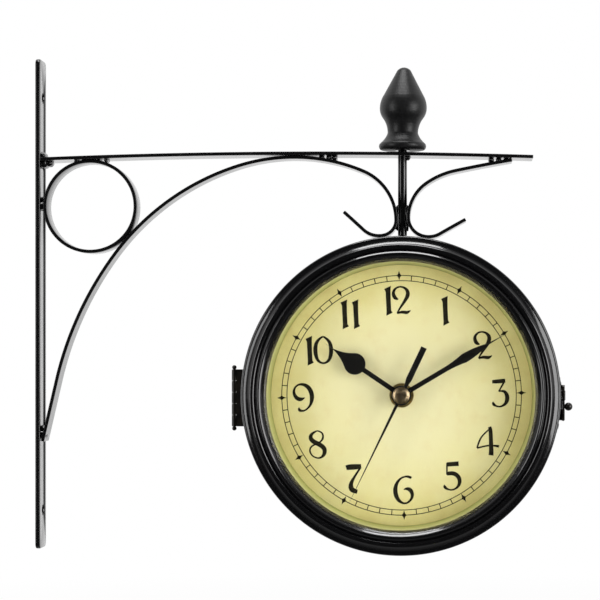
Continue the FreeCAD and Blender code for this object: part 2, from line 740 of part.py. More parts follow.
def nut_of(name, low):
    blank = hexagon(name + "_blank", nut_radius, nut_height, rod_reach, 0, low)
    return bored(name, blank, nut_height, low)


def make_hanger():
    under_roof = case_top - shell_gauge - washer_radius * washer_radius / (2 * rim_radius) - seat_play
    rod_foot = under_roof - washer_gauge - 2 * nut_height - 2
    rod_top = tube_top + seat_play + washer_gauge + rod_grip
    keep(cylinder("hanger_rod", rod_radius, rod_top - rod_foot, rod_reach, 0, rod_foot))
    keep(group(
        "rod_fasteners",
        washer_of("top_washer", tube_top + seat_play),
        washer_of("inside_washer", under_roof - washer_gauge),
        nut_of("outside_nut", case_top + seat_play),
        nut_of("inside_nut", under_roof - washer_gauge - nut_height),
        nut_of("lock_nut", under_roof - washer_gauge - 2 * nut_height)))


make_finial()
make_hanger()


# Case. Each side is drawn about the middle of the case with its face towards -Y, and the rear
# side is turned about.

def seat(thing, side):
    return keep(place(thing, rod_reach, 0, case_height, about_face if side == "rear" else None))


def rivet_spots():
    # Height of each rivet in the hinge and in the hasp, from the middle of the case.
    hinge = [hinge_height * 0.3 * way - hinge_drop for way in (-1, 1)]
    hasp = [hasp_height * 0.38 * way - hasp_drop for way in (-1, 1)]
    return hinge, hasp


def rivet_depth(half, wrap):
    # A half's rivets sit in the middle of the plate that they hold.
    return -seam_offset + (-wrap / 2 if half == "front" else wrap / 2)


def radial_shaft(name, radius, side, depth, height, inner, outer):
    # A cylinder square to the drum at a height, on the hinge side (-1) or the hasp side (1).
    rise = height / rim_radius
    reach = square_root(1 - rise * rise) * side
    lean = math.degrees(math.asin(float(rise)))
    turn = Rotation(Vector(0, 1, 0), side * (90 - lean))
    return cylinder(name, radius, outer - inner, inner * reach, depth, inner * rise, turn)


def rivet_set(half, radius, inner, outer, name):
    hinge, hasp = rivet_spots()
    shafts = []
    for side, wrap, heights in ((-1, leaf_wrap, hinge), (1, hasp_wrap, hasp)):
        for number, height in enumerate(heights):
            label = "%s_%s_%d_%d" % (half, name, side + 1, number)
            depth = rivet_depth(half, wrap)
            shafts.append(radial_shaft(label, radius, side, depth, height, inner, outer))
    return shafts


def make_shell(side):
    seam = -seam_offset - seam_gap / 2 if side == "front" else seam_offset - seam_gap / 2
    inside = rim_radius - shell_gauge
    flat_inside = shoulder_depth - shell_gauge
    corners = (
        (rim_radius, seam),
        (inside, seam),
        (inside, -flat_inside + corner_radius / 2),
        (inside - corner_radius / 2, -flat_inside),
        (moulding_outer, -moulding_depth + shell_gauge),
        (step_radius, -step_depth + shell_gauge),
        (lip_radius + 2 * shell_gauge, -lip_depth),
        (lip_radius + shell_gauge, -lip_depth + shell_gauge),
        (lip_radius, -lip_depth + shell_gauge),
        (lip_radius, -lip_depth),
        (step_radius - shell_gauge, -step_depth, flare_round),
        (step_radius, -step_depth + shell_gauge / 4, shell_gauge),
        (moulding_inner, -moulding_depth),
        (moulding_outer, -moulding_depth, moulding_round),
        (rim_radius - corner_radius, -shoulder_depth),
        (rim_radius, -shoulder_depth + corner_radius, corner_radius),
    )
    body = turned(side + "_drum", "XY_Plane", corners)
    lug = sketch_on(body, "XZ_Plane", dial_depth - dial_gauge - seat_play - shell_gauge)
    half = lug_width / 2
    draw(lug, box_corners(inside - lug_reach, rim_radius - shell_gauge / 2, -half, half))
    lug_pad = pad(body, lug, shell_gauge)
    pattern = body.newObject("PartDesign::PolarPattern", side + "_lugs")
    pattern.Originals = [lug_pad]
    pattern.Axis = (axis_of(body, "Y_Axis"), [""])
    pattern.Occurrences = 4
    pattern.Angle = full_turn
    body.Tip = pattern
    holes = rivet_set(side, rivet_radius + seat_play, inside - 2 * lug_reach, rim_radius + lug_reach, "hole")
    if side == "rear":
        rod_hole = cylinder("rod_hole", rod_radius + 2 * seat_play, rim_radius, 0, 0, shell_gauge)
        drum = place(body, turn=about_face)
        case = cut("rear_shell", drum, rod_hole, *holes)
    else:
        case = cut("front_shell", body, *holes)
    keep(place(case, rod_reach, 0, case_height))


def axis_of(body, role):
    return next(axis for axis in body.Origin.OriginFeatures if axis.Role == role)


def disc(name, outer, hole, depth, gauge):
    # A flat disc that faces -Y, with its back at a depth in front of the rod's axis.
    body = new_body(name)
    sketch = circles(sketch_on(body, "XZ_Plane", depth), (0, 0, outer))
    if hole is not None:
        circles(sketch, (0, 0, hole))
    pad(body, sketch, gauge)
    return body


def make_glass(side):
    back = -lip_depth + shell_gauge + seat_play + glass_gauge
    seat(disc(side + "_glass", glass_radius, None, -back, glass_gauge), side)
    return back


def make_spacer(side, glass_back):
    dial_face = -dial_depth - seat_play
    outer = glass_radius - shell_gauge / 2
    corners = (
        (sight_radius, dial_face),
        (rim_radius - shell_gauge - seat_play, dial_face),
        (rim_radius - shell_gauge - seat_play, dial_face - ring_flange),
        (outer, dial_face - ring_flange),
        (outer, glass_back + seat_play),
        (lip_radius + shell_gauge / 2, glass_back + seat_play),
    )
    seat(turned(side + "_spacer_ring", "XY_Plane", corners), side)


def make_dial(side):
    outer, hole = rim_radius - shell_gauge - seat_play, bushing_radius + seat_play
    seat(disc(side + "_dial", outer, hole, dial_depth - dial_gauge, dial_gauge), side)


# Movement

def polar(length, direction):
    angle = math.radians(float(direction))
    return Vector(float(length) * math.cos(angle), 0, float(length) * math.sin(angle))


motion_axis = polar(train_step, motion_direction)
knob_axis = motion_axis + polar(train_step, knob_direction)
step_axis = polar(seconds_step, step_direction)
rotor_axis = step_axis + polar(rotor_step, step_direction)
back_wall = -housing_back - housing_wall
recess_floor = back_wall - 1


def make_housing(side):
    half, wall = housing_half, housing_wall
    bay_top = -half + 1 + 2 * battery_radius + 0.9
    outside = block(side + "_housing_block", -half, half, -housing_front, -housing_back, -half, half)
    works = block(side + "_works", wall - half, half - wall, -housing_front, back_wall,
                  bay_top + wall, half - wall)
    bay = block(side + "_bay", 1 - half, half - 1, 0.4 - housing_front, 1, 1 - half, bay_top)
    knob_boss = shaft(side + "_knob_boss", knob_radius + 1.6, recess_floor - 1, back_wall,
                      knob_axis.x, knob_axis.z)
    tub = fuse(side + "_tub", cut(side + "_tub_walls", outside, works, bay), knob_boss)
    recess = shaft(side + "_knob_recess", knob_radius + 0.6, recess_floor, 1, knob_axis.x, knob_axis.z)
    tools = [recess, shaft(side + "_knob_hole", 1 + running_fit, recess_floor - 2, 0, knob_axis.x, knob_axis.z)]
    for name, axis, radius in (("seconds", Vector(), second_arbor), ("step", step_axis, arbor_radius),
                               ("rotor", rotor_axis, arbor_radius)):
        tools.append(shaft("%s_%s_seat" % (side, name), radius + running_fit, back_wall - 0.1,
                           back_wall + 0.7, axis.x, axis.z))
    seat(cut(side + "_movement_housing", tub, *tools), side)
    return bay_top


def make_cover(side, bay_top):
    half, wall, play = housing_half, housing_wall, seat_play
    plate = block(side + "_cover_plate", wall + play - half, half - wall - play, -housing_front,
                  wall - housing_front, bay_top + wall + play, half - wall - play)
    bushing = shaft(side + "_bushing", bushing_radius, -bushing_reach, -housing_front)
    post = shaft(side + "_motion_post", arbor_radius, wall - housing_front, -10.1,
                 motion_axis.x, motion_axis.z)
    tools = [shaft(side + "_bushing_bore", hour_pipe + running_fit, -bushing_reach - 1, 1 + wall - housing_front)]
    for name, axis in (("step", step_axis), ("rotor", rotor_axis)):
        tools.append(shaft("%s_%s_pivot" % (side, name), arbor_radius + running_fit,
                           wall - housing_front - 0.8, wall - housing_front + 0.1, axis.x, axis.z))
    seat(cut(side + "_movement_cover", fuse(side + "_cover_body", plate, bushing, post), *tools), side)


def make_dial_nut(side):
    face = -dial_depth - 0.3
    front = face - dial_nut_height
    hexagon_nut = cut(side + "_nut", hexagon(side + "_nut_body", dial_nut_radius, dial_nut_height,
                                             0, front, 0, along_y),
                      shaft(side + "_nut_thread", bushing_radius + seat_play, front, face))
    washer = cut(side + "_nut_washer", shaft(side + "_nut_washer_disc", dial_nut_radius, face, -dial_depth),
                 shaft(side + "_nut_washer_hole", bushing_radius + seat_play, face, -dial_depth))
    rubber = cut(side + "_rubber", shaft(side + "_rubber_disc", dial_nut_radius * 1.4, -housing_front - rubber_gauge,
                                         -housing_front),
                 shaft(side + "_rubber_hole", bushing_radius + seat_play, -housing_front - rubber_gauge,
                       -housing_front))
    seat(group(side + "_dial_nut", hexagon_nut, washer, rubber), side)


def make_battery(side, bay_top):
    axis_up = bay_top - battery_radius - 0.2
    depth = -housing_back - battery_radius - 0.1
    half = battery_length / 2
    cell = cylinder(side + "_cell", battery_radius, battery_length, -half - 0.4, depth, axis_up, along_x)
    button = cylinder(side + "_button", 2.7, 1, half - 0.4, depth, axis_up, along_x)
    seat(fuse(side + "_battery", cell, button), side)
    wall = housing_half - 1
    springs = []
    for name, left, right, tip in (("minus", -wall, 0.4 - wall, -half - 0.4), ("plus", wall - 0.4, wall, half + 0.6)):
        leaf = block("%s_%s_leaf" % (side, name), left, right, depth - 5, depth + 5, axis_up - 4, axis_up + 4)
        start, end = (right, tip - seat_play) if name == "minus" else (tip + seat_play, left)
        spring = cylinder("%s_%s_spring" % (side, name), 2.5, end - start, start, depth, axis_up, along_x)
        springs.append(fuse("%s_%s_contact" % (side, name), leaf, spring))
    seat(group(side + "_battery_contacts", *springs), side)


def make_board(side):
    board = block(side + "_board", 5, housing_half - housing_wall - 1, back_wall - 0.8, back_wall, 14,
                  housing_half - housing_wall - 1)
    chip = shaft(side + "_chip", 2.6, back_wall - 2, back_wall - 0.8, 18, 20)
    crystal = cylinder(side + "_crystal", 1, 6, 7.5, back_wall - 1.7, 24, along_x)
    seat(fuse(side + "_circuit_board", board, chip, crystal), side)


def make_motor(side):
    front, back = -5.6, -4.8
    left, right = rotor_axis.x - 5.5, 3
    low, high = rotor_axis.z - 3.2, 22
    plate = block(side + "_stator_plate", left, right, front, back, low, high)
    window = block(side + "_stator_window", left + 2.6, right - 2.6, front - 1, back + 1,
                   rotor_axis.z + 4, high - 3.8)
    gap = shaft(side + "_stator_gap", magnet_radius + 0.4, front - 1, back + 1, rotor_axis.x, rotor_axis.z)
    stator = cut(side + "_stator", plate, window, gap)
    middle = high - 1.9
    winding = cylinder(side + "_winding", 2.4, right - left - 8, left + 4, (front + back) / 2, middle, along_x)
    core = block(side + "_core", left + 2.6, right - 2.6, front - seat_play, back + seat_play,
                 high - 3.8 - seat_play, high + seat_play)
    flanges = [cylinder("%s_flange_%d" % (side, number), 2.6, 0.6, reach, (front + back) / 2, middle, along_x)
               for number, reach in enumerate((left + 3.4, right - 4))]
    coil = cut(side + "_coil", fuse(side + "_bobbin", winding, *flanges), core)
    seat(group(side + "_motor_coil", stator, coil), side)


# Wheels. Angles are in degrees, seen with X to the right and Z up.

def toothed(teeth, module, phase, axis, front, back):
    # A toothed wheel along Y with one tooth centred on the phase direction.
    pitch = math.pi * 2 / teeth
    root, tip = module * (teeth / 2 - 1.25), module * (teeth / 2 + 0.9)
    corners = []
    for number in range(teeth):
        middle = math.radians(phase) + number * pitch
        for radius, share in ((root, -0.27), (tip, -0.09), (tip, 0.09), (root, 0.27)):
            angle = middle + share * pitch
            corners.append(Vector(radius * math.cos(angle), 0, radius * math.sin(angle)))
    outline = Part.Face(Part.makePolygon(corners + corners[:1]))
    wheel = outline.extrude(Vector(0, float(back) - float(front), 0))
    wheel.translate(axis + Vector(0, float(front), 0))
    return wheel


def round_bar(radius, axis, front, back):
    start = axis + Vector(0, float(front), 0)
    return Part.makeCylinder(float(radius), float(back) - float(front), start, Vector(0, 1, 0))


def mesh_phase(teeth, phase, direction, mate):
    # The phase that puts a mate's gap opposite this wheel's tooth along a direction.
    return direction + 180 + 180 / mate - (phase - direction) * teeth / mate


def join(first, *others):
    return first.multiFuse(list(others)).removeSplitter()


def make_wheels(side):
    thick, arbor = float(wheel_gauge), float(arbor_radius)
    fit, pipe = float(running_fit), float(minute_pipe)
    front_wall, rear_seat = float(housing_wall - housing_front), float(back_wall) + 0.6
    motion, knob_way = float(motion_direction), float(knob_direction)
    step_way = float(step_direction)
    centre = Vector()

    fine, coarse = float(train_step) / 25, float(train_step) / 24
    hour_front = front_wall + 0.4
    hour_wheel = join(toothed(40, fine, motion, centre, hour_front, hour_front + 1),
                      round_bar(hour_pipe, centre, -hour_level - hand_gauge, hour_front + 0.5))
    hour_wheel = hour_wheel.cut(round_bar(pipe + fit, centre, -30, 0))

    motion_front = -11.8
    pinion_phase = mesh_phase(40, motion, motion, 10)
    motion_wheel = join(toothed(36, coarse, motion + 180, motion_axis, motion_front, motion_front + thick),
                        toothed(10, fine, pinion_phase, motion_axis, hour_front, motion_front + 0.3))
    motion_wheel = motion_wheel.cut(round_bar(arbor + fit, motion_axis, -30, 0))

    minute_phase = mesh_phase(36, motion + 180, motion + 180, 12)
    minute_wheel = join(toothed(12, coarse, minute_phase, centre, motion_front - 0.2, motion_front + 1.4),
                        round_bar(pipe, centre, -minute_level - hand_gauge, motion_front))
    minute_wheel = minute_wheel.cut(round_bar(second_arbor + fit, centre, -30, 0))

    knob_phase = mesh_phase(36, motion + 180, knob_way, 12)
    knob_front = float(recess_floor) + 0.2
    setting_knob = join(toothed(12, coarse, knob_phase, knob_axis, motion_front - 0.1, motion_front + 1),
                        round_bar(1, knob_axis, motion_front, knob_front + 0.2),
                        round_bar(knob_radius, knob_axis, knob_front, float(-housing_back) - 0.2))

    seconds_front = -9.3
    small, large = float(seconds_step) / 36, float(rotor_step) / 35
    seconds_wheel = join(toothed(60, small, step_way, centre, seconds_front, seconds_front + thick),
                         round_bar(second_arbor, centre, -second_level - hand_gauge / 2 + seat_play, rear_seat))
    step_phase = mesh_phase(60, step_way, step_way, 12)
    step_wheel = join(toothed(12, small, step_phase, step_axis, seconds_front - 0.3, seconds_front + 1.8),
                      toothed(60, large, step_way, step_axis, seconds_front + 1.7, seconds_front + 1.7 + thick),
                      round_bar(arbor, step_axis, front_wall - 0.7, rear_seat))
    rotor_phase = mesh_phase(60, step_way, step_way, 10)
    rotor = join(toothed(10, large, rotor_phase, rotor_axis, seconds_front + 1.5, seconds_front + 2.9),
                 round_bar(magnet_radius, rotor_axis, -6.2, -4.2),
                 round_bar(arbor, rotor_axis, front_wall - 0.7, rear_seat))
    wheels = (("hour_wheel", hour_wheel), ("motion_wheel", motion_wheel), ("minute_wheel", minute_wheel),
              ("setting_knob", setting_knob), ("seconds_wheel", seconds_wheel), ("step_wheel", step_wheel),
              ("rotor", rotor))
    for name, shape in wheels:
        seat(shaped(side + "_" + name, shape), side)


# Hands, drawn pointing up and turned clockwise as their dial is read.

def seat_hand(thing, side, angle):
    turn = Rotation(Vector(0, 1, 0), float(angle))
    if side == "rear":
        turn = about_face.multiply(turn)
    keep(place(thing, rod_reach, 0, case_height, turn))


def mirrored(right_side):
    # Closes an outline given from the foot of its right side to the tip, about the middle line.
    count = len(right_side)
    corners = list(right_side)
    for number in range(count - 2, -1, -1):
        above = right_side[number + 1]
        corner = (-right_side[number][0], right_side[number][1])
        corners.append(corner + (above[2],) if len(above) > 2 else corner)
    return tuple(corners)


def make_hour_hand(side):
    boss = hour_pipe + 2
    neck = square_root(bulb_radius * bulb_radius - shaft_half * shaft_half)
    leave = bulb_radius * 0.82
    rise = bulb_radius * 0.57
    corners = mirrored((
        (shaft_half, 0),
        (shaft_half, hour_bulb - neck),
        (bulb_radius, hour_bulb, bulb_radius),
        (leave, hour_bulb + rise, bulb_radius),
        (hand_gauge / 3, hour_length, -(hour_length - hour_bulb) * 1.25),
    ))
    blade = flat(side + "_hour_blade", corners, hour_level, hand_gauge)
    disc = shaft(side + "_hour_boss", boss, -hour_level - hand_gauge, -hour_level)
    bore = shaft(side + "_hour_bore", hour_pipe + seat_play, -hour_level - 2, 1 - hour_level)
    seat_hand(cut(side + "_hour_hand", fuse(side + "_hour_blank", blade, disc), bore), side, hour_angle)


def make_minute_hand(side):
    needle = hand_gauge
    corners = mirrored((
        (shaft_half, 0),
        (shaft_half, leaf_start),
        (leaf_half, leaf_middle, -(leaf_middle - leaf_start) * 5),
        (needle, leaf_end, (leaf_end - leaf_middle) * 4),
        (needle / 2, minute_length),
    ))
    blade = flat(side + "_minute_blade", corners, minute_level, hand_gauge)
    disc = shaft(side + "_minute_boss", hour_pipe + 1.2, -minute_level - hand_gauge, -minute_level)
    bore = shaft(side + "_minute_bore", minute_pipe + seat_play, -minute_level - 2, 1 - minute_level)
    seat_hand(cut(side + "_minute_hand", fuse(side + "_minute_blank", blade, disc), bore), side, minute_angle)


def make_second_hand(side):
    root = tail_half / 2
    corners = mirrored((
        (tail_half, -tail_length),
        (tail_half, -tail_length / 3),
        (root, -hub_radius),
        (root, hub_radius),
        (root * 0.7, second_length),
    ))
    front = -second_level - hand_gauge
    blade = flat(side + "_second_blade", corners, second_level, hand_gauge)
    disc = shaft(side + "_second_hub", hub_radius, front - hand_gauge, -second_level)
    pocket_for_arbor = shaft(side + "_second_bore", second_arbor + seat_play, -second_level - hand_gauge / 2,
                             1 - second_level)
    hand = cut(side + "_second_body", fuse(side + "_second_blank", blade, disc), pocket_for_arbor)
    cap_back = front - hand_gauge
    dome = (cap_radius * cap_radius + cap_height * cap_height) / (2 * cap_height)
    cap = turned(side + "_cap", "XY_Plane", (
        (0, cap_back),
        (0, cap_back - cap_height),
        (cap_radius, cap_back, dome),
    ))
    seat_hand(group(side + "_second_hand", hand, cap), side, second_angle)


for side in ("front", "rear"):
    make_shell(side)
    glass_back = make_glass(side)
    make_spacer(side, glass_back)
    make_dial(side)
    bay_top = make_housing(side)
    make_cover(side, bay_top)
    make_dial_nut(side)
    make_battery(side, bay_top)
    make_board(side)
    make_motor(side)
    make_wheels(side)
    make_hour_hand(side)
    make_minute_hand(side)
    make_second_hand(side)


# Hinge, at -X, and hasp, at +X, drawn about the middle of the case.

def drum_plate(name, side, front, back, middle, height):
    # A plate bent to the drum, on the hinge side (-1) or the hasp side (1).
    ring_plate = cut(name + "_bend", shaft(name + "_outer", rim_radius + leaf_gauge, front, back),
                     shaft(name + "_inner", rim_radius + seat_play, front - 1, back + 1))
    left, right = (-rim_radius * 2, 0) if side < 0 else (0, rim_radius * 2)
    window = block(name + "_window", left, right, front, back, middle - height / 2, middle + height / 2)
    return common(name, ring_plate, window)


def knuckles(name, indices, count, height, middle, reach, depth, grow=0):
    # The chosen barrels of a hinge whose knuckles share its height.
    each = height / count
    barrels = []
    for index in indices:
        low = middle - height / 2 + each * index + knuckle_play / 2 - grow
        tall = each - knuckle_play + 2 * grow
        barrels.append(cylinder("%s_%d" % (name, index), knuckle_radius + grow, tall, reach, depth, low))
    return barrels


def make_leaf(half, indices, others):
    middle, count = -hinge_drop, 5
    gap = seam_gap / 2
    if half == "front":
        front, back = -seam_offset - gap - leaf_wrap, -seam_offset - gap
        tab_front, tab_back = back - leaf_gauge, back
    else:
        front, back = -seam_offset + gap, -seam_offset + gap + leaf_wrap
        tab_front, tab_back = front, front + leaf_gauge
    wrap = drum_plate(half + "_wrap", -1, front, back, middle, hinge_height)
    tab = block(half + "_tab", -hinge_reach, -rim_radius + 5, tab_front, tab_back,
                middle - hinge_height / 2, middle + hinge_height / 2)
    own = knuckles(half + "_knuckle", indices, count, hinge_height, middle, -hinge_reach, -seam_offset)
    clear = knuckles(half + "_relief", others, count, hinge_height, middle, -hinge_reach, -seam_offset,
                     knuckle_play)
    body = shaft(half + "_drum_clear", rim_radius + seat_play, front - 1, back + 1)
    leaf = fuse(half + "_leaf_blank", wrap, cut(half + "_leaf_tab", tab, body, *clear), *own)
    bore = cylinder(half + "_pin_bore", pin_radius + running_fit, 2 * hinge_height, -hinge_reach,
                    -seam_offset, middle - hinge_height)
    holes = rivet_set(half, rivet_radius + seat_play, rim_radius - 3, rim_radius + 4, "leaf_hole")[:2]
    leaf = cut(half + "_hinge_leaf", leaf, bore, *holes)
    keep(place(leaf, rod_reach, 0, case_height))


def make_hinge_pin():
    length = hinge_height + 0.4
    low = -hinge_drop - length / 2
    pin = cylinder("hinge_pin_shank", pin_radius, length, -hinge_reach, -seam_offset, low)
    heads = [ball("hinge_pin_head_%d" % number, pin_head, -hinge_reach, -seam_offset, up)
             for number, up in enumerate((low - pin_head * 0.7, low + length + pin_head * 0.7))]
    return fuse("hinge_pin", pin, *heads)


flap_axis = rim_radius + leaf_gauge + knuckle_radius + knuckle_play
flap_depth = -seam_offset + 3
flap_middle = -hasp_drop + 0.9


def make_staple_plate():
    back = -seam_offset - seam_gap / 2
    plate = drum_plate("staple_sheet", 1, back - hasp_wrap, back, -hasp_drop, hasp_height)
    middle = flap_middle + flap_height / 2 - flap_slot / 2 - 2.1
    depth = flap_depth - flap_reach + 3.2
    base, top = rim_radius + leaf_gauge / 2, rim_radius + staple_rise - staple_wire
    legs = [cylinder("staple_leg_%d" % number, staple_wire, top - base, base, depth,
                     middle + staple_span / 2 * way, along_x) for number, way in enumerate((-1, 1))]
    bar = cylinder("staple_bar", staple_wire, staple_span, top, depth, middle - staple_span / 2)
    corners = [ball("staple_corner_%d" % number, staple_wire, top, depth, middle + staple_span / 2 * way)
               for number, way in enumerate((-1, 1))]
    blank = fuse("staple_blank", plate, bar, *legs, *corners)
    holes = rivet_set("front", rivet_radius + seat_play, rim_radius - 3, rim_radius + 4, "staple_hole")[2:]
    keep(place(cut("staple_plate", blank, *holes), rod_reach, 0, case_height))
    return middle


def make_hasp_plate():
    front = -seam_offset + seam_gap / 2
    plate = drum_plate("hasp_sheet", 1, front, front + hasp_wrap, -hasp_drop, hasp_height)
    barrels = knuckles("hasp_knuckle", (0, 2), 3, flap_height, flap_middle, flap_axis, flap_depth)
    roots = []
    for number, barrel in enumerate((0, 2)):
        low = flap_middle - flap_height / 2 + flap_height / 3 * barrel + knuckle_play / 2
        roots.append(block("hasp_root_%d" % number, rim_radius - 2, flap_axis, flap_depth,
                           flap_depth + knuckle_radius, low, low + flap_height / 3 - knuckle_play))
    rooted = cut("hasp_roots", fuse("hasp_root_pair", *roots),
                 shaft("hasp_drum_clear", rim_radius + seat_play, -rim_radius, rim_radius))
    bore = cylinder("hasp_bore", flap_pin + seat_play / 5, 2 * flap_height, flap_axis, flap_depth,
                    flap_middle - flap_height)
    holes = rivet_set("rear", rivet_radius + seat_play, rim_radius - 3, rim_radius + 4, "hasp_hole")[2:]
    blank = fuse("hasp_blank", plate, rooted, *barrels)
    keep(place(cut("hasp_plate", blank, bore, *holes), rod_reach, 0, case_height))
    return cylinder("hasp_pin", flap_pin, flap_height, flap_axis, flap_depth, flap_middle - flap_height / 2)


def make_hasp_flap(staple_middle):
    inner = rim_radius + flap_lift
    low, high = flap_middle - flap_height / 2, flap_middle + flap_height / 2
    third = flap_height / 3
    body = new_body("flap_sheet")
    notch_low, notch_high = staple_middle - flap_slot / 2, staple_middle + flap_slot / 2
    tip, root = flap_depth - flap_reach, flap_depth - knuckle_radius - knuckle_play
    notch_end = tip + 3.2 + staple_wire + 2 * knuckle_play
    corners = (
        (root, low + 2),
        (root, high),
        (tip + 1.4, high),
        (tip, high - 1, 1.6),
        (tip, notch_high),
        (notch_end, notch_high),
        (notch_end, notch_low),
        (tip, notch_low),
        (tip - 0.6, notch_low - 2.5, 4),
        (tip + 1.5, low + 2.4),
        (tip + 3.4, low, 2.6),
    )
    sketch = draw(sketch_on(body, "YZ_Plane", inner), corners)
    pad(body, sketch, leaf_gauge)
    barrel = cylinder("flap_barrel", knuckle_radius, third - knuckle_play, flap_axis, flap_depth,
                      low + third + knuckle_play / 2)
    bridge = block("flap_bridge", inner, inner + leaf_gauge, root - 1, flap_depth, low + third + knuckle_play / 2,
                   low + 2 * third - knuckle_play / 2)
    knob_up, knob_depth = staple_middle - flap_slot / 2 - 2.5, tip + 1.6
    stem = cylinder("flap_stem", 0.9, knob_ball + 1, inner + leaf_gauge / 2, knob_depth, knob_up, along_x)
    knob = ball("flap_knob", knob_ball, inner + leaf_gauge + knob_ball, knob_depth, knob_up)
    blank = fuse("flap_blank", body, barrel, bridge, stem, knob)
    bore = cylinder("flap_bore", flap_pin + running_fit, 2 * flap_height, flap_axis, flap_depth,
                    flap_middle - flap_height)
    keep(place(cut("hasp_flap", blank, bore), rod_reach, 0, case_height))


def make_rivets(half):
    shanks = rivet_set(half, rivet_radius, rim_radius - shell_gauge - rivet_rise,
                       rim_radius + leaf_gauge + rivet_rise, "shank")
    heads = rivet_set(half, rivet_head, rim_radius + leaf_gauge + seat_play,
                      rim_radius + leaf_gauge + rivet_rise, "head")
    tails = rivet_set(half, rivet_head, rim_radius - shell_gauge - rivet_rise - 0.1,
                      rim_radius - shell_gauge - 0.1, "tail")
    rivets = [fuse("%s_rivet_%d" % (half, number), *bits)
              for number, bits in enumerate(zip(shanks, heads, tails))]
    keep(place(group(half + "_rivets", *rivets), rod_reach, 0, case_height))


make_leaf("front", (1, 3), (0, 2, 4))
make_leaf("rear", (0, 2, 4), (1, 3))
staple_middle = make_staple_plate()
hasp_pin = make_hasp_plate()
make_hasp_flap(staple_middle)
keep(place(group("pivot_pins", make_hinge_pin(), hasp_pin), rod_reach, 0, case_height))
for half in ("front", "rear"):
    make_rivets(half)

doc.recompute()
for thing in doc.Objects:
    if "Invalid" in thing.State or "Error" in thing.State:
        raise ValueError(thing.Label + " failed: " + ", ".join(thing.State))
os.makedirs("parts", exist_ok=True)
for piece in pieces:
    if piece.Shape.isNull() or not piece.Shape.isValid() or not piece.Shape.Solids:
        raise ValueError(piece.Label + " has no valid solid")
    piece.Shape.exportStep("parts/%s.step" % piece.Label)
print(len(pieces), "pieces")
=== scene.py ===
import json
import math

import bmesh
import bpy
from mathutils import Matrix, Vector, noise


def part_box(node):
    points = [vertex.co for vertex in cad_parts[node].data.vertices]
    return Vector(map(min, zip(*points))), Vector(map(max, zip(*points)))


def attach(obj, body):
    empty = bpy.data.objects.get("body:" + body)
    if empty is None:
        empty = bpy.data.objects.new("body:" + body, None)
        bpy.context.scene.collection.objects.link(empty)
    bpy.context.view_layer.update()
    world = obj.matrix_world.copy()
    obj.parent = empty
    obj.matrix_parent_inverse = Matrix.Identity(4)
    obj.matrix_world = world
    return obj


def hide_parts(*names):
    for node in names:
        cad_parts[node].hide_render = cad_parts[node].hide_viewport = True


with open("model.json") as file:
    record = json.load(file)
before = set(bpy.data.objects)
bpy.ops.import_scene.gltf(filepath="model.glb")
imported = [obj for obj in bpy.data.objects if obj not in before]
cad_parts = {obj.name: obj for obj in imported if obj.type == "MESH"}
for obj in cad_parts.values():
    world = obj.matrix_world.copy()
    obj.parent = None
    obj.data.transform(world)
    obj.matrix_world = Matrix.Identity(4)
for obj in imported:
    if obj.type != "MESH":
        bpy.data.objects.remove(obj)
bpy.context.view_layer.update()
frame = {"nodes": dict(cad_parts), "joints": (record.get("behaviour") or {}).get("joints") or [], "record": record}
nodes = frame["nodes"]
scene = bpy.context.scene
joints = {joint["name"]: joint for joint in frame["joints"]}
caseCentre = Vector((joints["front_minute_spin"]["pos_m"][0], 0, joints["front_minute_spin"]["pos_m"][2]))
rodX = joints["case_swivel"]["pos_m"][0]


# ---- small tools: sizes are in millimetres until a piece is placed

def mm(*values):
    scaled = tuple(value * 0.001 for value in values)
    return scaled[0] if len(scaled) == 1 else scaled


def arcPoints(start, end, turn, steps):
    # points after start, along an arc that turns left where turn is positive
    start, end = Vector(start), Vector(end)
    chord = end - start
    rise = math.sqrt(max(turn ** 2 - chord.length ** 2 / 4, 0))
    centre = (start + end) / 2 + Vector((-chord.y, chord.x)).normalized() * math.copysign(rise, turn)
    arm, last = start - centre, end - centre
    sweep = math.copysign(arm.angle(last), turn)
    spots = []
    for step in range(1, steps + 1):
        angle = sweep * step / steps
        spots.append(centre + Matrix.Rotation(angle, 2) @ arm)
    return spots


def shift(bm, way):
    bmesh.ops.translate(bm, verts=bm.verts, vec=way)


def outline(corners, steps=8):
    # a corner is (across, up), with a radius third where an arc arrives there
    spots = [Vector(corners[0][:2])]
    for before, corner in zip(corners, list(corners[1:]) + [corners[0]]):
        if len(corner) > 2:
            spots += arcPoints(before[:2], corner[:2], corner[2], steps)
        else:
            spots.append(Vector(corner[:2]))
    return spots[:-1]


def bend(start, heading, bends, steps=28):
    # points along tangent bends, each (radius, turn in degrees), left turns positive
    spots, spot = [Vector(start)], Vector(start)
    for radius, turn in bends:
        side = math.radians(heading + math.copysign(90, turn))
        centre = spot + Vector((math.cos(side), math.sin(side))) * radius
        for step in range(1, steps + 1):
            spin = Matrix.Rotation(math.radians(turn) * step / steps, 2)
            spots.append(centre + spin @ (spot - centre))
        spot, heading = spots[-1], heading + turn
    return spots


def sideSpace(side):
    # the space a side of the case is drawn in: its dial faces -Y and its middle is the origin
    turn = Matrix.Rotation(math.pi if side == "rear" else 0, 4, "Z")
    return Matrix.Translation(caseCentre) @ turn @ Matrix.Scale(0.001, 4)


rowSpace = Matrix.Scale(0.001, 4)


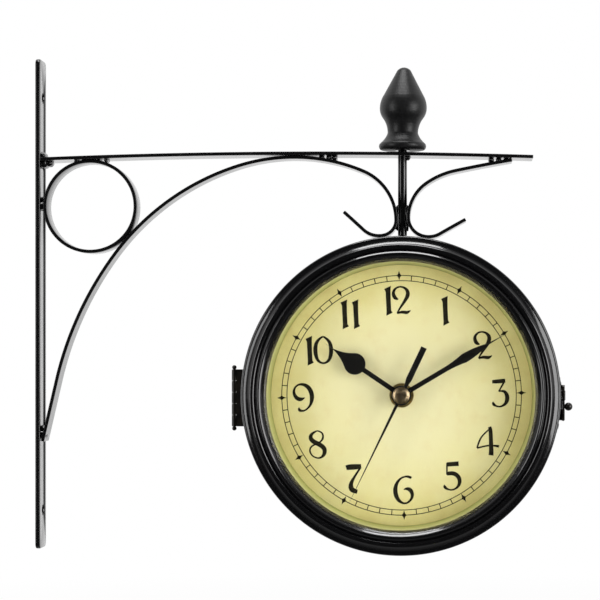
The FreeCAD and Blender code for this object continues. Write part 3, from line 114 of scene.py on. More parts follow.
def finish(bm, name, material, space=rowSpace, crease=34, closed=True):
    # places a mesh, points its faces outwards and keeps its sharp edges
    bm.transform(space)
    bmesh.ops.remove_doubles(bm, verts=bm.verts, dist=mm(0.002))
    if closed:
        bmesh.ops.recalc_face_normals(bm, faces=bm.faces)
    for face in bm.faces:
        face.smooth = True
    for edge in bm.edges:
        if len(edge.link_faces) == 2 and edge.calc_face_angle(0) > math.radians(crease):
            edge.smooth = False
    mesh = bpy.data.meshes.new(name)
    bm.to_mesh(mesh)
    bm.free()
    thing = bpy.data.objects.new(name, mesh)
    scene.collection.objects.link(thing)
    if material:
        mesh.materials.append(material)
    return thing


def wear(thing, body, replaced=()):
    # rides a piece on a body and stands it for its CAD nodes
    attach(thing, body)
    if replaced:
        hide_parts(*replaced)
    return thing


def lathe(points, axis="Y", steps=128, closed=True):
    # spins points of (radius, along) about an axis through the origin
    bm = bmesh.new()
    ring = [bm.verts.new((r, h, 0) if axis == "Y" else (r, 0, h)) for r, h in points]
    pairs = list(zip(ring, ring[1:])) + ([(ring[-1], ring[0])] if closed else [])
    edges = [bm.edges.new(pair) for pair in pairs]
    bmesh.ops.spin(bm, geom=ring + edges, cent=(0, 0, 0), axis=(0, 1, 0) if axis == "Y" else (0, 0, 1),
                   angle=math.tau, steps=steps, use_merge=True)
    bmesh.ops.remove_doubles(bm, verts=bm.verts, dist=0.001)
    loose = [edge for edge in bm.edges if not edge.link_faces]
    bmesh.ops.delete(bm, geom=loose, context="EDGES")
    return bm


def bevelEdges(bm, width, segments=3, angle=30, keep=None):
    sharp = [edge for edge in bm.edges if edge.calc_face_angle(0) > math.radians(angle)
             and (keep is None or keep(edge))]
    bmesh.ops.bevel(bm, geom=sharp, offset=width, offset_type="OFFSET", segments=segments, profile=0.5,
                    affect="EDGES", material=-1, clamp_overlap=True)


def slab(points, back, front, edge=0.12):
    # a flat outline of (across, up) made solid between two depths, with its front edge eased
    bm = bmesh.new()
    face = bm.faces.new([bm.verts.new((x, back, z)) for x, z in points])
    grown = bmesh.ops.extrude_face_region(bm, geom=[face])["geom"]
    moved = [item for item in grown if isinstance(item, bmesh.types.BMVert)]
    bmesh.ops.translate(bm, verts=moved, vec=(0, front - back, 0))
    bmesh.ops.recalc_face_normals(bm, faces=bm.faces)
    if edge:
        rim = lambda item: all(abs(vert.co.y - front) < 1e-6 for vert in item.verts)
        bevelEdges(bm, edge, 2, 30, rim)
    return bm


def rod(radius, length, start, direction, steps=32, edge=0.0):
    # a round bar from a start point, with eased ends
    bm = bmesh.new()
    bmesh.ops.create_cone(bm, cap_ends=True, segments=steps, radius1=radius, radius2=radius, depth=length)
    shift(bm, (0, 0, length / 2))
    if edge:
        bevelEdges(bm, edge, 2, 60)
    turn = Vector((0, 0, 1)).rotation_difference(Vector(direction)).to_matrix()
    bmesh.ops.rotate(bm, verts=bm.verts, cent=(0, 0, 0), matrix=turn)
    shift(bm, start)
    return bm


def brick(low, high, edge=0.2, segments=2):
    # a block between two corners, with eased edges
    bm = bmesh.new()
    bmesh.ops.create_cube(bm, size=1)
    low, high = Vector(low), Vector(high)
    bmesh.ops.scale(bm, verts=bm.verts, vec=high - low)
    shift(bm, (low + high) / 2)
    if edge:
        bevelEdges(bm, edge, segments)
    return bm


def gather(*parts):
    # puts several meshes into the first
    base = parts[0]
    for part in parts[1:]:
        held = bpy.data.meshes.new("held")
        part.to_mesh(held)
        part.free()
        base.from_mesh(held)
        bpy.data.meshes.remove(held)
    return base


def ribbon(path, width, name, node, gauge, edge):
    # a flat bar bent along a path of (across, up): drawn as a sheet, then given its gauge and edges
    bm = bmesh.new()
    line = [bm.verts.new((x, -width / 2, z)) for x, z in path]
    edges = [bm.edges.new(pair) for pair in zip(line, line[1:])]
    grown = bmesh.ops.extrude_edge_only(bm, edges=edges)["geom"]
    moved = [item for item in grown if isinstance(item, bmesh.types.BMVert)]
    bmesh.ops.translate(bm, verts=moved, vec=(0, width, 0))
    bar = finish(bm, name, enamel)
    thick = bar.modifiers.new("gauge", "SOLIDIFY")
    thick.thickness, thick.offset, thick.use_even_offset = mm(gauge), 0, True
    ease = bar.modifiers.new("edge", "BEVEL")
    ease.width, ease.segments, ease.limit_method = mm(edge), 3, "ANGLE"
    ease.angle_limit, ease.harden_normals = math.radians(50), True
    wear(bar, "bracket", [node])


print("tools ready")


# ---- materials

def toLinear(code):
    parts = [int(code[place:place + 2], 16) / 255 for place in (1, 3, 5)]
    return tuple(p / 12.92 if p <= 0.04045 else ((p + 0.055) / 1.055) ** 2.4 for p in parts) + (1.0,)


def addNode(material, kind, inputs=None, **settings):
    # adds a node, sets it up, and fills or links its inputs
    node = material.node_tree.nodes.new("ShaderNode" + kind)
    for name, value in settings.items():
        setattr(node, name, value)
    for name, value in (inputs or {}).items():
        if isinstance(value, bpy.types.NodeSocket):
            material.node_tree.links.new(value, node.inputs[name])
        else:
            node.inputs[name].default_value = value
    return node


def setStops(ramp, *stops):
    # gives a colour ramp its stops of (place, colour)
    bar = ramp.color_ramp.elements
    while len(bar) > 1:
        bar.remove(bar[-1])
    for number, (place, colour) in enumerate(stops):
        stop = bar[0] if number == 0 else bar.new(place)
        stop.position = place
        stop.color = toLinear(colour) if isinstance(colour, str) else (colour, colour, colour, 1)
    return ramp


def newMaterial(name, colour, roughness, **sockets):
    # returns a material and its shader, with plain numbers set on the shader itself
    material = bpy.data.materials.new(name)
    material.use_nodes = True
    shader = material.node_tree.nodes["Principled BSDF"]
    shader.inputs["Base Color"].default_value = toLinear(colour)
    shader.inputs["Roughness"].default_value = roughness
    for socket, value in sockets.items():
        shader.inputs[socket.replace("_", " ")].default_value = value
    return material, shader


def objectSpot(material, centre=(0, 0, 0), turn=(0, 0, 0), scale=(1, 1, 1)):
    # object coordinates about a centre
    spot = addNode(material, "TexCoord").outputs["Object"]
    shift = addNode(material, "Mapping", {0: spot, 1: tuple(-c for c in centre)}).outputs[0]
    return addNode(material, "Mapping", {0: shift, 2: turn, 3: scale}).outputs[0]


def link(material, output, shader, socket):
    material.node_tree.links.new(output, shader.inputs[socket])


def addGrain(material, shader, size, depth, strength=1.0, detail=2.0, spot=None):
    # a noise bump whose grain is as wide as size in millimetres
    grain = addNode(material, "TexNoise", {"Vector": spot or objectSpot(material), "Scale": 1 / mm(size),
                                           "Detail": detail, "Roughness": 0.55})
    bump = addNode(material, "Bump", {"Height": grain.outputs[0], "Distance": mm(depth),
                                      "Strength": strength})
    link(material, bump.outputs[0], shader, "Normal")
    return grain


def mottle(material, shader, spot, size, detail, stops, socket="Base Color", roughness=0.5):
    # patches as wide as size in millimetres, between two stops of (place, colour)
    patch = addNode(material, "TexNoise", {"Vector": spot, "Scale": 1 / mm(size), "Detail": detail,
                                           "Roughness": roughness})
    blend = setStops(addNode(material, "ValToRGB", {0: patch.outputs[0]}), *stops)
    link(material, blend.outputs[0], shader, socket)


def makeEnamel(name, gloss, dust, peel):
    # sprayed gloss enamel on steel: deep black with sharp edges of light, faint orange peel and dust,
    # and a peel drawn a little coarser than the real 1 mm, so that it shows
    material, shader = newMaterial(name, "#08080a", gloss, Coat_Weight=0.6, Coat_Roughness=0.05)
    spot = objectSpot(material)
    mottle(material, shader, spot, 18, 3.0, ((0.35, gloss * 0.85), (0.75, gloss * 1.3)), "Roughness")
    mottle(material, shader, spot, 1.1, 4.0, ((0.55, "#060607"), (0.8, dust)), roughness=0.7)
    addGrain(material, shader, 2.2, 0.01, peel, 1.0, spot)
    return material


enamel = makeEnamel("sprayedEnamel", 0.22, "#121214", 0.2)
caseEnamel = makeEnamel("stovedEnamel", 0.17, "#101012", 0.07)


def makeFinialPaint():
    # matt black paint on turned beech: soft wide highlights, faint turning rings and long grain
    material, shader = newMaterial("mattPaintedBeech", "#0e0e0f", 0.4, Specular_IOR_Level=0.4)
    centre = (rodX, 0, 0)
    spot = objectSpot(material, centre)
    rings = addNode(material, "TexWave", {"Vector": spot, "Scale": 1 / mm(5.5), "Distortion": 1.5,
                                          "Detail": 1.0}, wave_type="BANDS", bands_direction="Z")
    long = objectSpot(material, centre, scale=(1, 1, 0.12))
    grain = addNode(material, "TexNoise", {"Vector": long, "Scale": 1 / mm(0.9), "Detail": 3.0})
    mixed = addNode(material, "Math", {0: rings.outputs["Fac"], 1: grain.outputs[0]}, operation="ADD")
    bump = addNode(material, "Bump", {"Height": mixed.outputs[0], "Distance": mm(0.03), "Strength": 0.5})
    link(material, bump.outputs[0], shader, "Normal")
    worn = setStops(addNode(material, "ValToRGB", {0: grain.outputs[0]}), (0.4, "#0c0c0d"), (0.75, "#151516"))
    link(material, worn.outputs[0], shader, "Base Color")
    return material


def makePlated(name, colour, roughness, grainSize=0.5):
    # nickel plated turned steel: grey mirror with fine tool marks
    material, shader = newMaterial(name, colour, roughness, Metallic=1.0)
    addGrain(material, shader, grainSize, 0.004, 0.5)
    return material


def makeBronzed():
    # pressed steel hinge in dark bronzed lacquer: nearly black, brown where the edges catch light
    material, shader = newMaterial("bronzedSteel", "#141210", 0.3, Metallic=0.35, Coat_Weight=0.3,
                                   Coat_Roughness=0.15)
    spot = objectSpot(material)
    mottle(material, shader, spot, 4, 4.0, ((0.4, "#100f0e"), (0.75, "#29231b")))
    addGrain(material, shader, 0.9, 0.015, 0.6, 2.0, spot)
    return material


def makeBrass():
    # spun brass cap: bow tie of light across fine rings
    material, shader = newMaterial("spunBrass", "#97856a", 0.27, Metallic=1.0, Anisotropic=0.85)
    tangent = addNode(material, "Tangent", direction_type="RADIAL", axis="Y")
    link(material, tangent.outputs[0], shader, "Tangent")
    return material


def makePaper():
    # aged printed paper glued to a steel plate: cream middle, turning tan towards the rim as painted shade of the
    # bezel, and blotched with stains
    material, shader = newMaterial("agedPaper", "#f1e9af", 0.62, Specular_IOR_Level=0.35)
    spot = objectSpot(material, caseCentre)
    flat = addNode(material, "VectorMath", {0: spot, 1: (1, 0, 1)}, operation="MULTIPLY")
    radius = addNode(material, "VectorMath", {0: flat.outputs[0]}, operation="LENGTH")
    wander = addNode(material, "TexNoise", {"Vector": spot, "Scale": 1 / mm(26), "Detail": 4.0,
                                            "Roughness": 0.6})
    ripple = addNode(material, "MapRange", {0: wander.outputs[0], 1: 0.3, 2: 0.7, 3: mm(-9), 4: mm(9)})
    wavy = addNode(material, "Math", {0: radius.outputs["Value"], 1: ripple.outputs[0]}, operation="ADD")
    reach = addNode(material, "MapRange", {0: wavy.outputs[0], 1: mm(20), 2: mm(76)})
    # painted shade: the ramp darkens the paper towards the rim, where the bezel and spacer ring shade it
    base = setStops(addNode(material, "ValToRGB", {0: reach.outputs[0]}),
                    (0.0, "#f7f0b9"), (0.45, "#f5edae"), (0.75, "#eee398"), (1.0, "#decf84"))
    blot = addNode(material, "TexNoise", {"Vector": spot, "Scale": 1 / mm(9), "Detail": 5.0,
                                          "Roughness": 0.65})
    blotFade = setStops(addNode(material, "ValToRGB", {0: blot.outputs[0]}), (0.5, 0.0), (0.85, 0.35))
    shadeAndStains = addNode(material, "Mix", {0: blotFade.outputs[0], 6: base.outputs[0], 7: toLinear("#e3c983")},
                      data_type="RGBA")
    fibre = addNode(material, "TexNoise", {"Vector": spot, "Scale": 1 / mm(0.5), "Detail": 3.0})
    speck = setStops(addNode(material, "ValToRGB", {0: fibre.outputs[0]}), (0.35, 0.94), (0.7, 1.0))
    final = addNode(material, "Mix", {0: 1.0, 6: shadeAndStains.outputs[2], 7: speck.outputs[0]},
                    data_type="RGBA", blend_type="MULTIPLY")
    link(material, final.outputs[2], shader, "Base Color")
    bump = addNode(material, "Bump", {"Height": fibre.outputs[0], "Distance": mm(0.01), "Strength": 0.3})
    link(material, bump.outputs[0], shader, "Normal")
    return material


def makeInk():
    # printing ink sunk into paper: olive brown black, a little uneven
    material, shader = newMaterial("printInk", "#1d1a0d", 0.65, Specular_IOR_Level=0.12)
    mottle(material, shader, objectSpot(material), 1.4, 3.0, ((0.35, "#17150a"), (0.75, "#2a2614")))
    return material


def makeCard():
    # varnished card ring: yellow green, with painted shade darkening it where it meets the dial and lighter
    # towards the glass
    material, shader = newMaterial("varnishedCard", "#a3a65e", 0.38)
    spot = objectSpot(material, caseCentre)
    depth = addNode(material, "SeparateXYZ", {0: spot})
    away = addNode(material, "Math", {0: depth.outputs["Y"]}, operation="ABSOLUTE")
    along = addNode(material, "MapRange", {0: away.outputs[0], 1: mm(17), 2: mm(29)})
    # painted shade: darkest at the dial face, lighter towards the glass
    base = setStops(addNode(material, "ValToRGB", {0: along.outputs[0]}),
                    (0.0, "#7f8440"), (0.25, "#a2a55c"), (1.0, "#c3c48c"))
    link(material, base.outputs[0], shader, "Base Color")
    addGrain(material, shader, 0.8, 0.01, 0.4, 2.0, spot)
    return material


def makeGlass():
    # float glass: nearly invisible, and its shadow and its tint are left out
    material, shader = newMaterial("floatGlass", "#ffffff", 0.0, Transmission_Weight=1.0, IOR=1.45,
                                   Specular_IOR_Level=0.08)
    tree = material.node_tree
    clear = addNode(material, "BsdfTransparent")
    path = addNode(material, "LightPath")
    shade = addNode(material, "Math", {0: path.outputs["Is Shadow Ray"], 1: path.outputs["Is Diffuse Ray"]},
                    operation="MAXIMUM")
    both = addNode(material, "MixShader", {0: shade.outputs[0], 1: shader.outputs[0], 2: clear.outputs[0]})
    tree.links.new(both.outputs[0], tree.nodes["Material Output"].inputs["Surface"])
    return material


def makeMoulded(name, colour, roughness, grainSize=0.35):
    # injection moulded plastic: even colour, fine spark eroded grain
    material, shader = newMaterial(name, colour, roughness)
    addGrain(material, shader, grainSize, 0.01, 0.5)
    return material


def makeHandPaint():
    # satin black lacquer on stamped aluminium: soft sheen and a faint fine grain
    material, shader = newMaterial("satinLacquer", "#0a0907", 0.32, Specular_IOR_Level=0.35)
    addGrain(material, shader, 0.6, 0.004, 0.08)
    return material


finialPaint = makeFinialPaint()
plated = makePlated("platedSteel", "#b8b8ba", 0.25)
nickel = makePlated("springNickel", "#c9c6bf", 0.3)
nutBrass = makePlated("turnedBrass", "#c2ac72", 0.3)
copper = makePlated("enamelledCopper", "#b1623a", 0.35, 0.3)
blackSteel = makeEnamel("blackedSteel", 0.24, "#161618", 0.1)
bronzed = makeBronzed()
brass = makeBrass()
paper = makePaper()
ink = makeInk()
card = makeCard()
glass = makeGlass()
blackAbs = makeMoulded("mouldedAbs", "#19191b", 0.42)
acetal = makeMoulded("mouldedAcetal", "#e6e4dc", 0.35)
resinBoard = makeMoulded("resinBoard", "#1f5a2c", 0.4)
cellSleeve = makeMoulded("shrunkSleeve", "#26303d", 0.28)
handPaint = makeHandPaint()
print("materials ready")


# ---- wall bracket

bracket = {
    "stripWidth": 12, "stripGauge": 1.8, "armWidth": 16, "armGauge": 1.8, "plateGauge": 2.5,
    "plateCorner": 3, "holeSpacing": 218, "holeRadius": 3, "tubeRadius": 2.4, "tubeBore": 1.56,
    "edge": 0.3, "beadRadius": 1.9, "armRoot": 76.1, "armTip": 77.4, "armReach": 262, "armBow": 2.4,
    "overCrest": ((93, -23), (28.1, -67)),                    # long scroll, crest to tube
    "tubeEdge": 0.2, "weldGap": 0.05, "lineSteps": 60, "holeDepth": 20, "roundSteps": 144,
    "curl": ((8, -75), (12, -58), (600, 1.33)),               # long scroll, below the tube weld
    "climb": ((98.4, 17.5), (129.4, 36), (180.1, 23.9)),      # long scroll, crest to foot
    "rise": ((22, -55), (41.8, -23), (699, -2.5)),            # short scroll, tube to arm
    "loop": ((10, 70), (12, 50), (600, -1.47)),               # short scroll, below the tube weld
}


def makeWallPlate():
    low, high = (value * 1000 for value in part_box("wall_plate"))
    bm = brick(low, high, 0)
    gauge = bracket["plateGauge"]
    corners = [edge for edge in bm.edges if abs(edge.verts[0].co.x - edge.verts[1].co.x) > gauge / 2]
    bmesh.ops.bevel(bm, geom=corners, offset=bracket["plateCorner"], segments=6, profile=0.5,
                    affect="EDGES", material=-1)
    bevelEdges(bm, 2 * bracket["edge"], 3, 50)
    plate = finish(bm, "wallPlate", enamel)
    b = bracket
    drills = [rod(b["holeRadius"], b["holeDepth"], (-2 * gauge, 0, way * b["holeSpacing"] / 2), (1, 0, 0), 40)
              for way in (-1, 1)]
    drill = finish(gather(*drills), "drill", None)
    drilled = plate.modifiers.new("holes", "BOOLEAN")
    drilled.object = drill
    drilled.solver = "EXACT"
    graph = bpy.context.evaluated_depsgraph_get()
    plate.data = bpy.data.meshes.new_from_object(plate.evaluated_get(graph))
    plate.modifiers.clear()
    bpy.data.objects.remove(drill)
    wear(plate, "bracket", ["wall_plate"])


def armLine():
    # middle line of the arm: an arc through its two ends and its bowed middle
    b = bracket
    start, end = Vector((b["plateGauge"], b["armRoot"])), Vector((b["armReach"], b["armTip"]))
    radius = (end - start).length ** 2 / (8 * b["armBow"]) + b["armBow"] / 2
    return [start] + arcPoints(start, end, -radius, b["lineSteps"])


def heightOn(line, across):
    # how high a line of (across, up) runs at one place
    for before, after in zip(line, line[1:]):
        if before.x <= across <= after.x:
            share = (across - before.x) / (after.x - before.x)
            return before.y + (after.y - before.y) * share
    return line[-1].y


def scrollLines():
    # middle lines of the two scrolls, hung from the arm as the frame has them
    line = armLine()
    under = bracket["armGauge"] / 2 + bracket["stripGauge"] / 2 + bracket["weldGap"]
    aside = bracket["tubeRadius"] + bracket["stripGauge"] / 2
    rodAt = rodX * 1000
    offset = bend((0, 0), 0, bracket["overCrest"])[-1]
    crestX = rodAt - aside - offset.x
    crest = Vector((crestX, heightOn(line, crestX) - under))
    forward = bend(crest, 0, bracket["overCrest"] + bracket["curl"])
    back = bend(crest, 180, bracket["climb"])
    slope = (back[-1] - back[-2]).normalized()
    reach = (back[-1].x - bracket["plateGauge"] - bracket["stripGauge"] / 2) / -slope.x
    back.append(back[-1] + slope * reach)
    longLine = list(reversed(back[1:])) + forward
    offset = bend((0, 0), 90, bracket["rise"])[-1]
    endX = rodAt + aside + offset.x
    top = heightOn(line, endX) - under
    contact = Vector((rodAt + aside, top - offset.y))
    up = bend(contact, 90, bracket["rise"])
    down = bend(contact, -90, bracket["loop"])
    shortLine = list(reversed(down[1:])) + up
    return longLine, shortLine, crest, contact


def makeBracket():
    b = bracket
    longLine, shortLine, crest, contact = scrollLines()
    ribbon(longLine, b["stripWidth"], "longScroll", "long_scroll", b["stripGauge"], b["edge"])
    ribbon(shortLine, b["stripWidth"], "shortScroll", "short_scroll", b["stripGauge"], b["edge"])
    ribbon(armLine(), b["armWidth"], "armBar", "arm_bar", b["armGauge"], b["edge"])
    low, high = (value * 1000 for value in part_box("ring"))
    outer, half, edge = (high.x - low.x) / 2, b["stripWidth"] / 2, b["edge"]
    inner = outer - b["stripGauge"]
    profile = outline(((outer, edge - half), (outer, half - edge), (outer - edge, half, edge),
                       (inner + edge, half), (inner, half - edge, edge), (inner, edge - half),
                       (inner + edge, -half, edge), (outer - edge, -half), (outer, edge - half, edge)), 3)
    bm = lathe(profile, "Y", b["roundSteps"])
    ringMiddle = (low + high) / 2
    shift(bm, ringMiddle)
    wear(finish(bm, "ringStrip", enamel), "bracket", ["ring"])
    low, high = (value * 1000 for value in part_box("pivot_tube"))
    outer, inner, edge = b["tubeRadius"], b["tubeBore"], b["tubeEdge"]
    profile = outline(((outer, low.z + edge), (outer, high.z - edge), (outer - edge, high.z, edge),
                       (inner, high.z), (inner, low.z), (outer - edge, low.z),
                       (outer, low.z + edge, edge)), 3)
    bm = lathe(profile, "Z", 48)
    shift(bm, (rodX * 1000, 0, 0))
    wear(finish(bm, "pivotTube", blackSteel), "bracket", ["pivot_tube"])
    makeWelds(ringMiddle, longLine[0], crest, contact, shortLine[-1])


weld = {
    "ripple": 0.07, "rippleStep": 1.3, "lump": 0.32, "lumpSize": 1.4,
    "besideRing": (-8, -4, 4, 8), "besideCrest": (14, 18, 21), "besideEnd": (-11, -7, -3),
    "ringAngle": -33, "ringProud": 0.3, "tubeInset": 0.4, "tubeSpread": 0.75,
}


def weldBead(spot, length, radius, along=(0, 1, 0)):
    # a weld bead: a long ball with ripples where the pool froze, and a few lumps
    bm = bmesh.new()
    bmesh.ops.create_icosphere(bm, subdivisions=4, radius=radius)
    for vert in bm.verts:
        vert.co.z += math.copysign(length / 2, vert.co.z) * min(abs(vert.co.z) / radius * 2, 1)
    bmesh.ops.smooth_vert(bm, verts=bm.verts, factor=0.5, use_axis_x=True, use_axis_y=True, use_axis_z=True)
    bm.normal_update()
    for vert in bm.verts:
        ripple = math.sin(vert.co.z * math.tau / weld["rippleStep"] + vert.co.x) * weld["ripple"]
        lump = noise.noise(vert.co / weld["lumpSize"] + Vector(spot)) * weld["lump"]
        vert.co += vert.normal * (ripple + lump)
    turn = Vector((0, 0, 1)).rotation_difference(Vector(along)).to_matrix()
    bmesh.ops.rotate(bm, verts=bm.verts, cent=(0, 0, 0), matrix=turn)
    shift(bm, spot)
    return bm


def makeWelds(ringMiddle, foot, crest, contact, shortEnd):
    b, w, line = bracket, weld, armLine()
    r, face, root, half = b["beadRadius"], b["plateGauge"], b["armRoot"], b["armGauge"] / 2
    across = b["stripWidth"] - 3 * r
    underArm = lambda x: heightOn(line, x) - half
    beads = [                                                 # on the wall plate, from the arm down
        ((face, 0, root + half + r / 2), across, r * 1.3),
        ((face + r / 2, 0, root - half - r / 2), across, r * 1.3),
        ((face + 2 * r, 0, root - half - r / 3), across / 2, r),
        ((face + r / 2, 0, ringMiddle.z), across, r),
        ((face + r / 2, 0, ringMiddle.z + 2 * r), across, r * 0.8),
        ((face + r / 2, 0, foot.y + 1.5 * r), across, r),
        ((face + r / 2, 0, foot.y + 3.5 * r), across, r * 0.9),
    ]
    for aside in w["besideRing"]:
        x = ringMiddle.x + aside
        beads.append(((x, 0, underArm(x) - r / 4), across, r / 2))
    alongArm = [crest.x + aside for aside in w["besideCrest"]]
    alongArm += [shortEnd.x + aside for aside in w["besideEnd"]]
    for x in alongArm:
        beads.append(((x, 0, underArm(x) - r / 2), across, r * 0.8))
    tube, inset = rodX * 1000, w["tubeInset"]
    beads.append(((tube + b["tubeRadius"] + inset, 0, underArm(tube) - inset), 2, r * 0.8))
    for side in (-1, 1):
        for depth in (-1, 1):
            spot = (tube + side * b["tubeRadius"], depth * b["tubeRadius"] * w["tubeSpread"], contact.y)
            beads.append((spot, 6 * r, r / 2, (0, 0, 1)))
    lean = math.radians(w["ringAngle"])
    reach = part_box("ring")[1].x * 1000 - ringMiddle.x + w["ringProud"]
    spot = (ringMiddle.x + math.cos(lean) * reach, 0, ringMiddle.z + math.sin(lean) * reach)
    beads.append((spot, across, r * 0.8))
    welds = finish(gather(*[weldBead(*bead) for bead in beads]), "weldBeads", enamel, crease=80)
    wear(welds, "bracket", ["weld_beads"])


makeWallPlate()
makeBracket()
print("bracket ready")


# ---- hanger

finialShape = {
    "foot": 11.6, "flange": 12.5, "flangeRise": 1.8, "neck": 8.05, "neckRise": 8.8, "neckCurve": 1.6,
    "belly": 12.45, "hollow": 0.6, "bellyRise": 22, "shoulder": 10.4, "shoulderRise": 29.1, "nose": 3.6,
    "noseRise": 41.9, "height": 43.6, "lean": 0.02, "bore": 1.6, "boreDepth": 20, "roll": 1.2,
}
rodRadius = 1.5


def makeFinial():
    f = finialShape
    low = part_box("finial")[0].z * 1000
    swell, climb = f["belly"] - f["neck"], f["bellyRise"] - f["neckRise"]
    taper, fall = f["belly"] - f["shoulder"], f["shoulderRise"] - f["bellyRise"]
    dome, swellRound = f["height"] - f["noseRise"], (swell ** 2 + climb ** 2) / (2 * swell)
    corners = (
        (f["bore"], 0),
        (f["foot"], 0),
        (f["flange"], f["flangeRise"], f["flangeRise"] * f["roll"]),
        (f["foot"], 2 * f["flangeRise"], f["flangeRise"] * f["roll"]),
        (f["neck"], f["neckRise"], (f["flangeRise"] - f["neckRise"]) * f["neckCurve"]),
        (f["neck"] + swell * f["hollow"], f["neckRise"] + climb * f["hollow"], -swellRound * f["hollow"]),
        (f["belly"], f["bellyRise"], swellRound * (1 - f["hollow"])),
        (f["shoulder"], f["shoulderRise"], (taper ** 2 + fall ** 2) / (2 * taper)),
        (f["nose"], f["noseRise"]),
        (0, f["height"], (f["nose"] ** 2 + dome ** 2) / (2 * dome)),
        (0, f["boreDepth"]),
        (f["bore"], f["boreDepth"]),
    )
    bm = lathe(outline(corners, 14), "Z", 96)
    for vert in bm.verts:
        vert.co.x += vert.co.z * f["lean"]      # turned a little out of true
    shift(bm, (rodX * 1000, 0, low))
    wear(finish(bm, "finialKnob", finialPaint, crease=40), "case", ["finial"])


def makeHanger():
    low, high = (value * 1000 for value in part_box("hanger_rod"))
    bm = rod(rodRadius, high.z - low.z, (rodX * 1000, 0, low.z), (0, 0, 1), 40, 0.2)
    wear(finish(bm, "hangerRod", blackSteel), "case", ["hanger_rod"])


makeFinial()
makeHanger()
print("hanger ready")


# ---- case

caseShape = {
    "rim": 82, "gauge": 0.9, "seam": 7, "seamGap": 0.2, "shoulder": 34.5, "corner": 1.3,
    "mouldingOuter": 77.9, "mouldingInner": 74.7, "mouldingDepth": 36, "mouldingRound": 1.75,
    "step": 73.4, "stepDepth": 37.2, "lip": 69, "lipDepth": 32.6, "flare": 9, "glass": 72,
    "glassGauge": 2, "dialDepth": 17, "dialGauge": 0.6, "sight": 67.9, "flange": 1.3, "play": 0.05,
    "lug": 3, "lugs": 4, "lugEdge": 0.15, "roll": 0.25, "ease": 0.2, "arcSteps": 7, "spinSteps": 240,
}


def makeShell(side):
    c = caseShape
    seam = -c["seam"] - c["seamGap"] / 2 if side == "front" else c["seam"] - c["seamGap"] / 2
    inside, gauge, roll = c["rim"] - c["gauge"], c["gauge"], c["roll"]
    corners = (
        (c["rim"] - roll, seam),
        (inside + roll, seam),
        (inside, seam - roll, roll),
        (inside, -c["shoulder"] + gauge + c["corner"] / 2),
        (inside - c["corner"] / 2, -c["shoulder"] + gauge, -c["corner"] / 2),
        (c["mouldingOuter"], -c["mouldingDepth"] + gauge),
        (c["step"], -c["stepDepth"] + gauge),
        (c["lip"] + 2 * gauge, -c["lipDepth"]),
        (c["lip"] + gauge, -c["lipDepth"] + gauge),
        (c["lip"] + roll, -c["lipDepth"] + gauge),
        (c["lip"], -c["lipDepth"] + gauge - roll, roll),
        (c["lip"], -c["lipDepth"]),
        (c["step"] - gauge, -c["stepDepth"], c["flare"]),
        (c["step"], -c["stepDepth"] + gauge / 4, gauge),
        (c["mouldingInner"], -c["mouldingDepth"]),
        (c["mouldingOuter"], -c["mouldingDepth"], c["mouldingRound"]),
        (c["rim"] - c["corner"], -c["shoulder"]),
        (c["rim"], -c["shoulder"] + c["corner"], c["corner"]),
        (c["rim"], seam - roll),
        (c["rim"] - roll, seam, roll),
    )
    bm = lathe(outline(corners, c["arcSteps"]), "Y", c["spinSteps"])
    lugs = []
    behindDial = -c["dialDepth"] + c["dialGauge"] + c["play"]
    for number in range(c["lugs"]):
        turn = Matrix.Rotation(math.tau * number / c["lugs"], 4, "Y")
        lug = brick((inside - c["lug"], behindDial, -c["lug"]),
                    (inside + gauge / 2, behindDial + gauge, c["lug"]), c["lugEdge"])
        lug.transform(turn)
        lugs.append(lug)
    shell = finish(gather(bm, *lugs), side + "Shell", caseEnamel, sideSpace(side), 38)
    wear(shell, "door" if side == "front" else "case", [side + "_shell"])


def makeGlazing(side):
    c = caseShape
    body = "door" if side == "front" else "case"
    space = sideSpace(side)
    front = -c["lipDepth"] + c["gauge"] + c["play"]
    back, ease = front + c["glassGauge"], c["ease"]
    profile = outline(((0, front), (c["glass"] - ease, front), (c["glass"], front + ease),
                       (c["glass"], back - ease), (c["glass"] - ease, back), (0, back)))
    pane = finish(lathe(profile, "Y", 160), side + "Pane", glass, space)
    wear(pane, body, [side + "_glass"])
    face, outer = -c["dialDepth"] - c["play"], c["rim"] - c["gauge"] - c["play"]
    wall, top = c["glass"] - c["gauge"] / 2, back + c["play"]
    profile = outline(((c["sight"], face), (outer, face), (outer, face - c["flange"]),
                       (wall, face - c["flange"]), (wall, top), (c["lip"] + c["gauge"] / 2, top)))
    spacer = finish(lathe(profile, "Y", 200), side + "SpacerRing", card, space)
    wear(spacer, body, [side + "_spacer_ring"])


# ---- dial print: numerals drawn as brush strokes of (across, up, width), one numeral height is 1

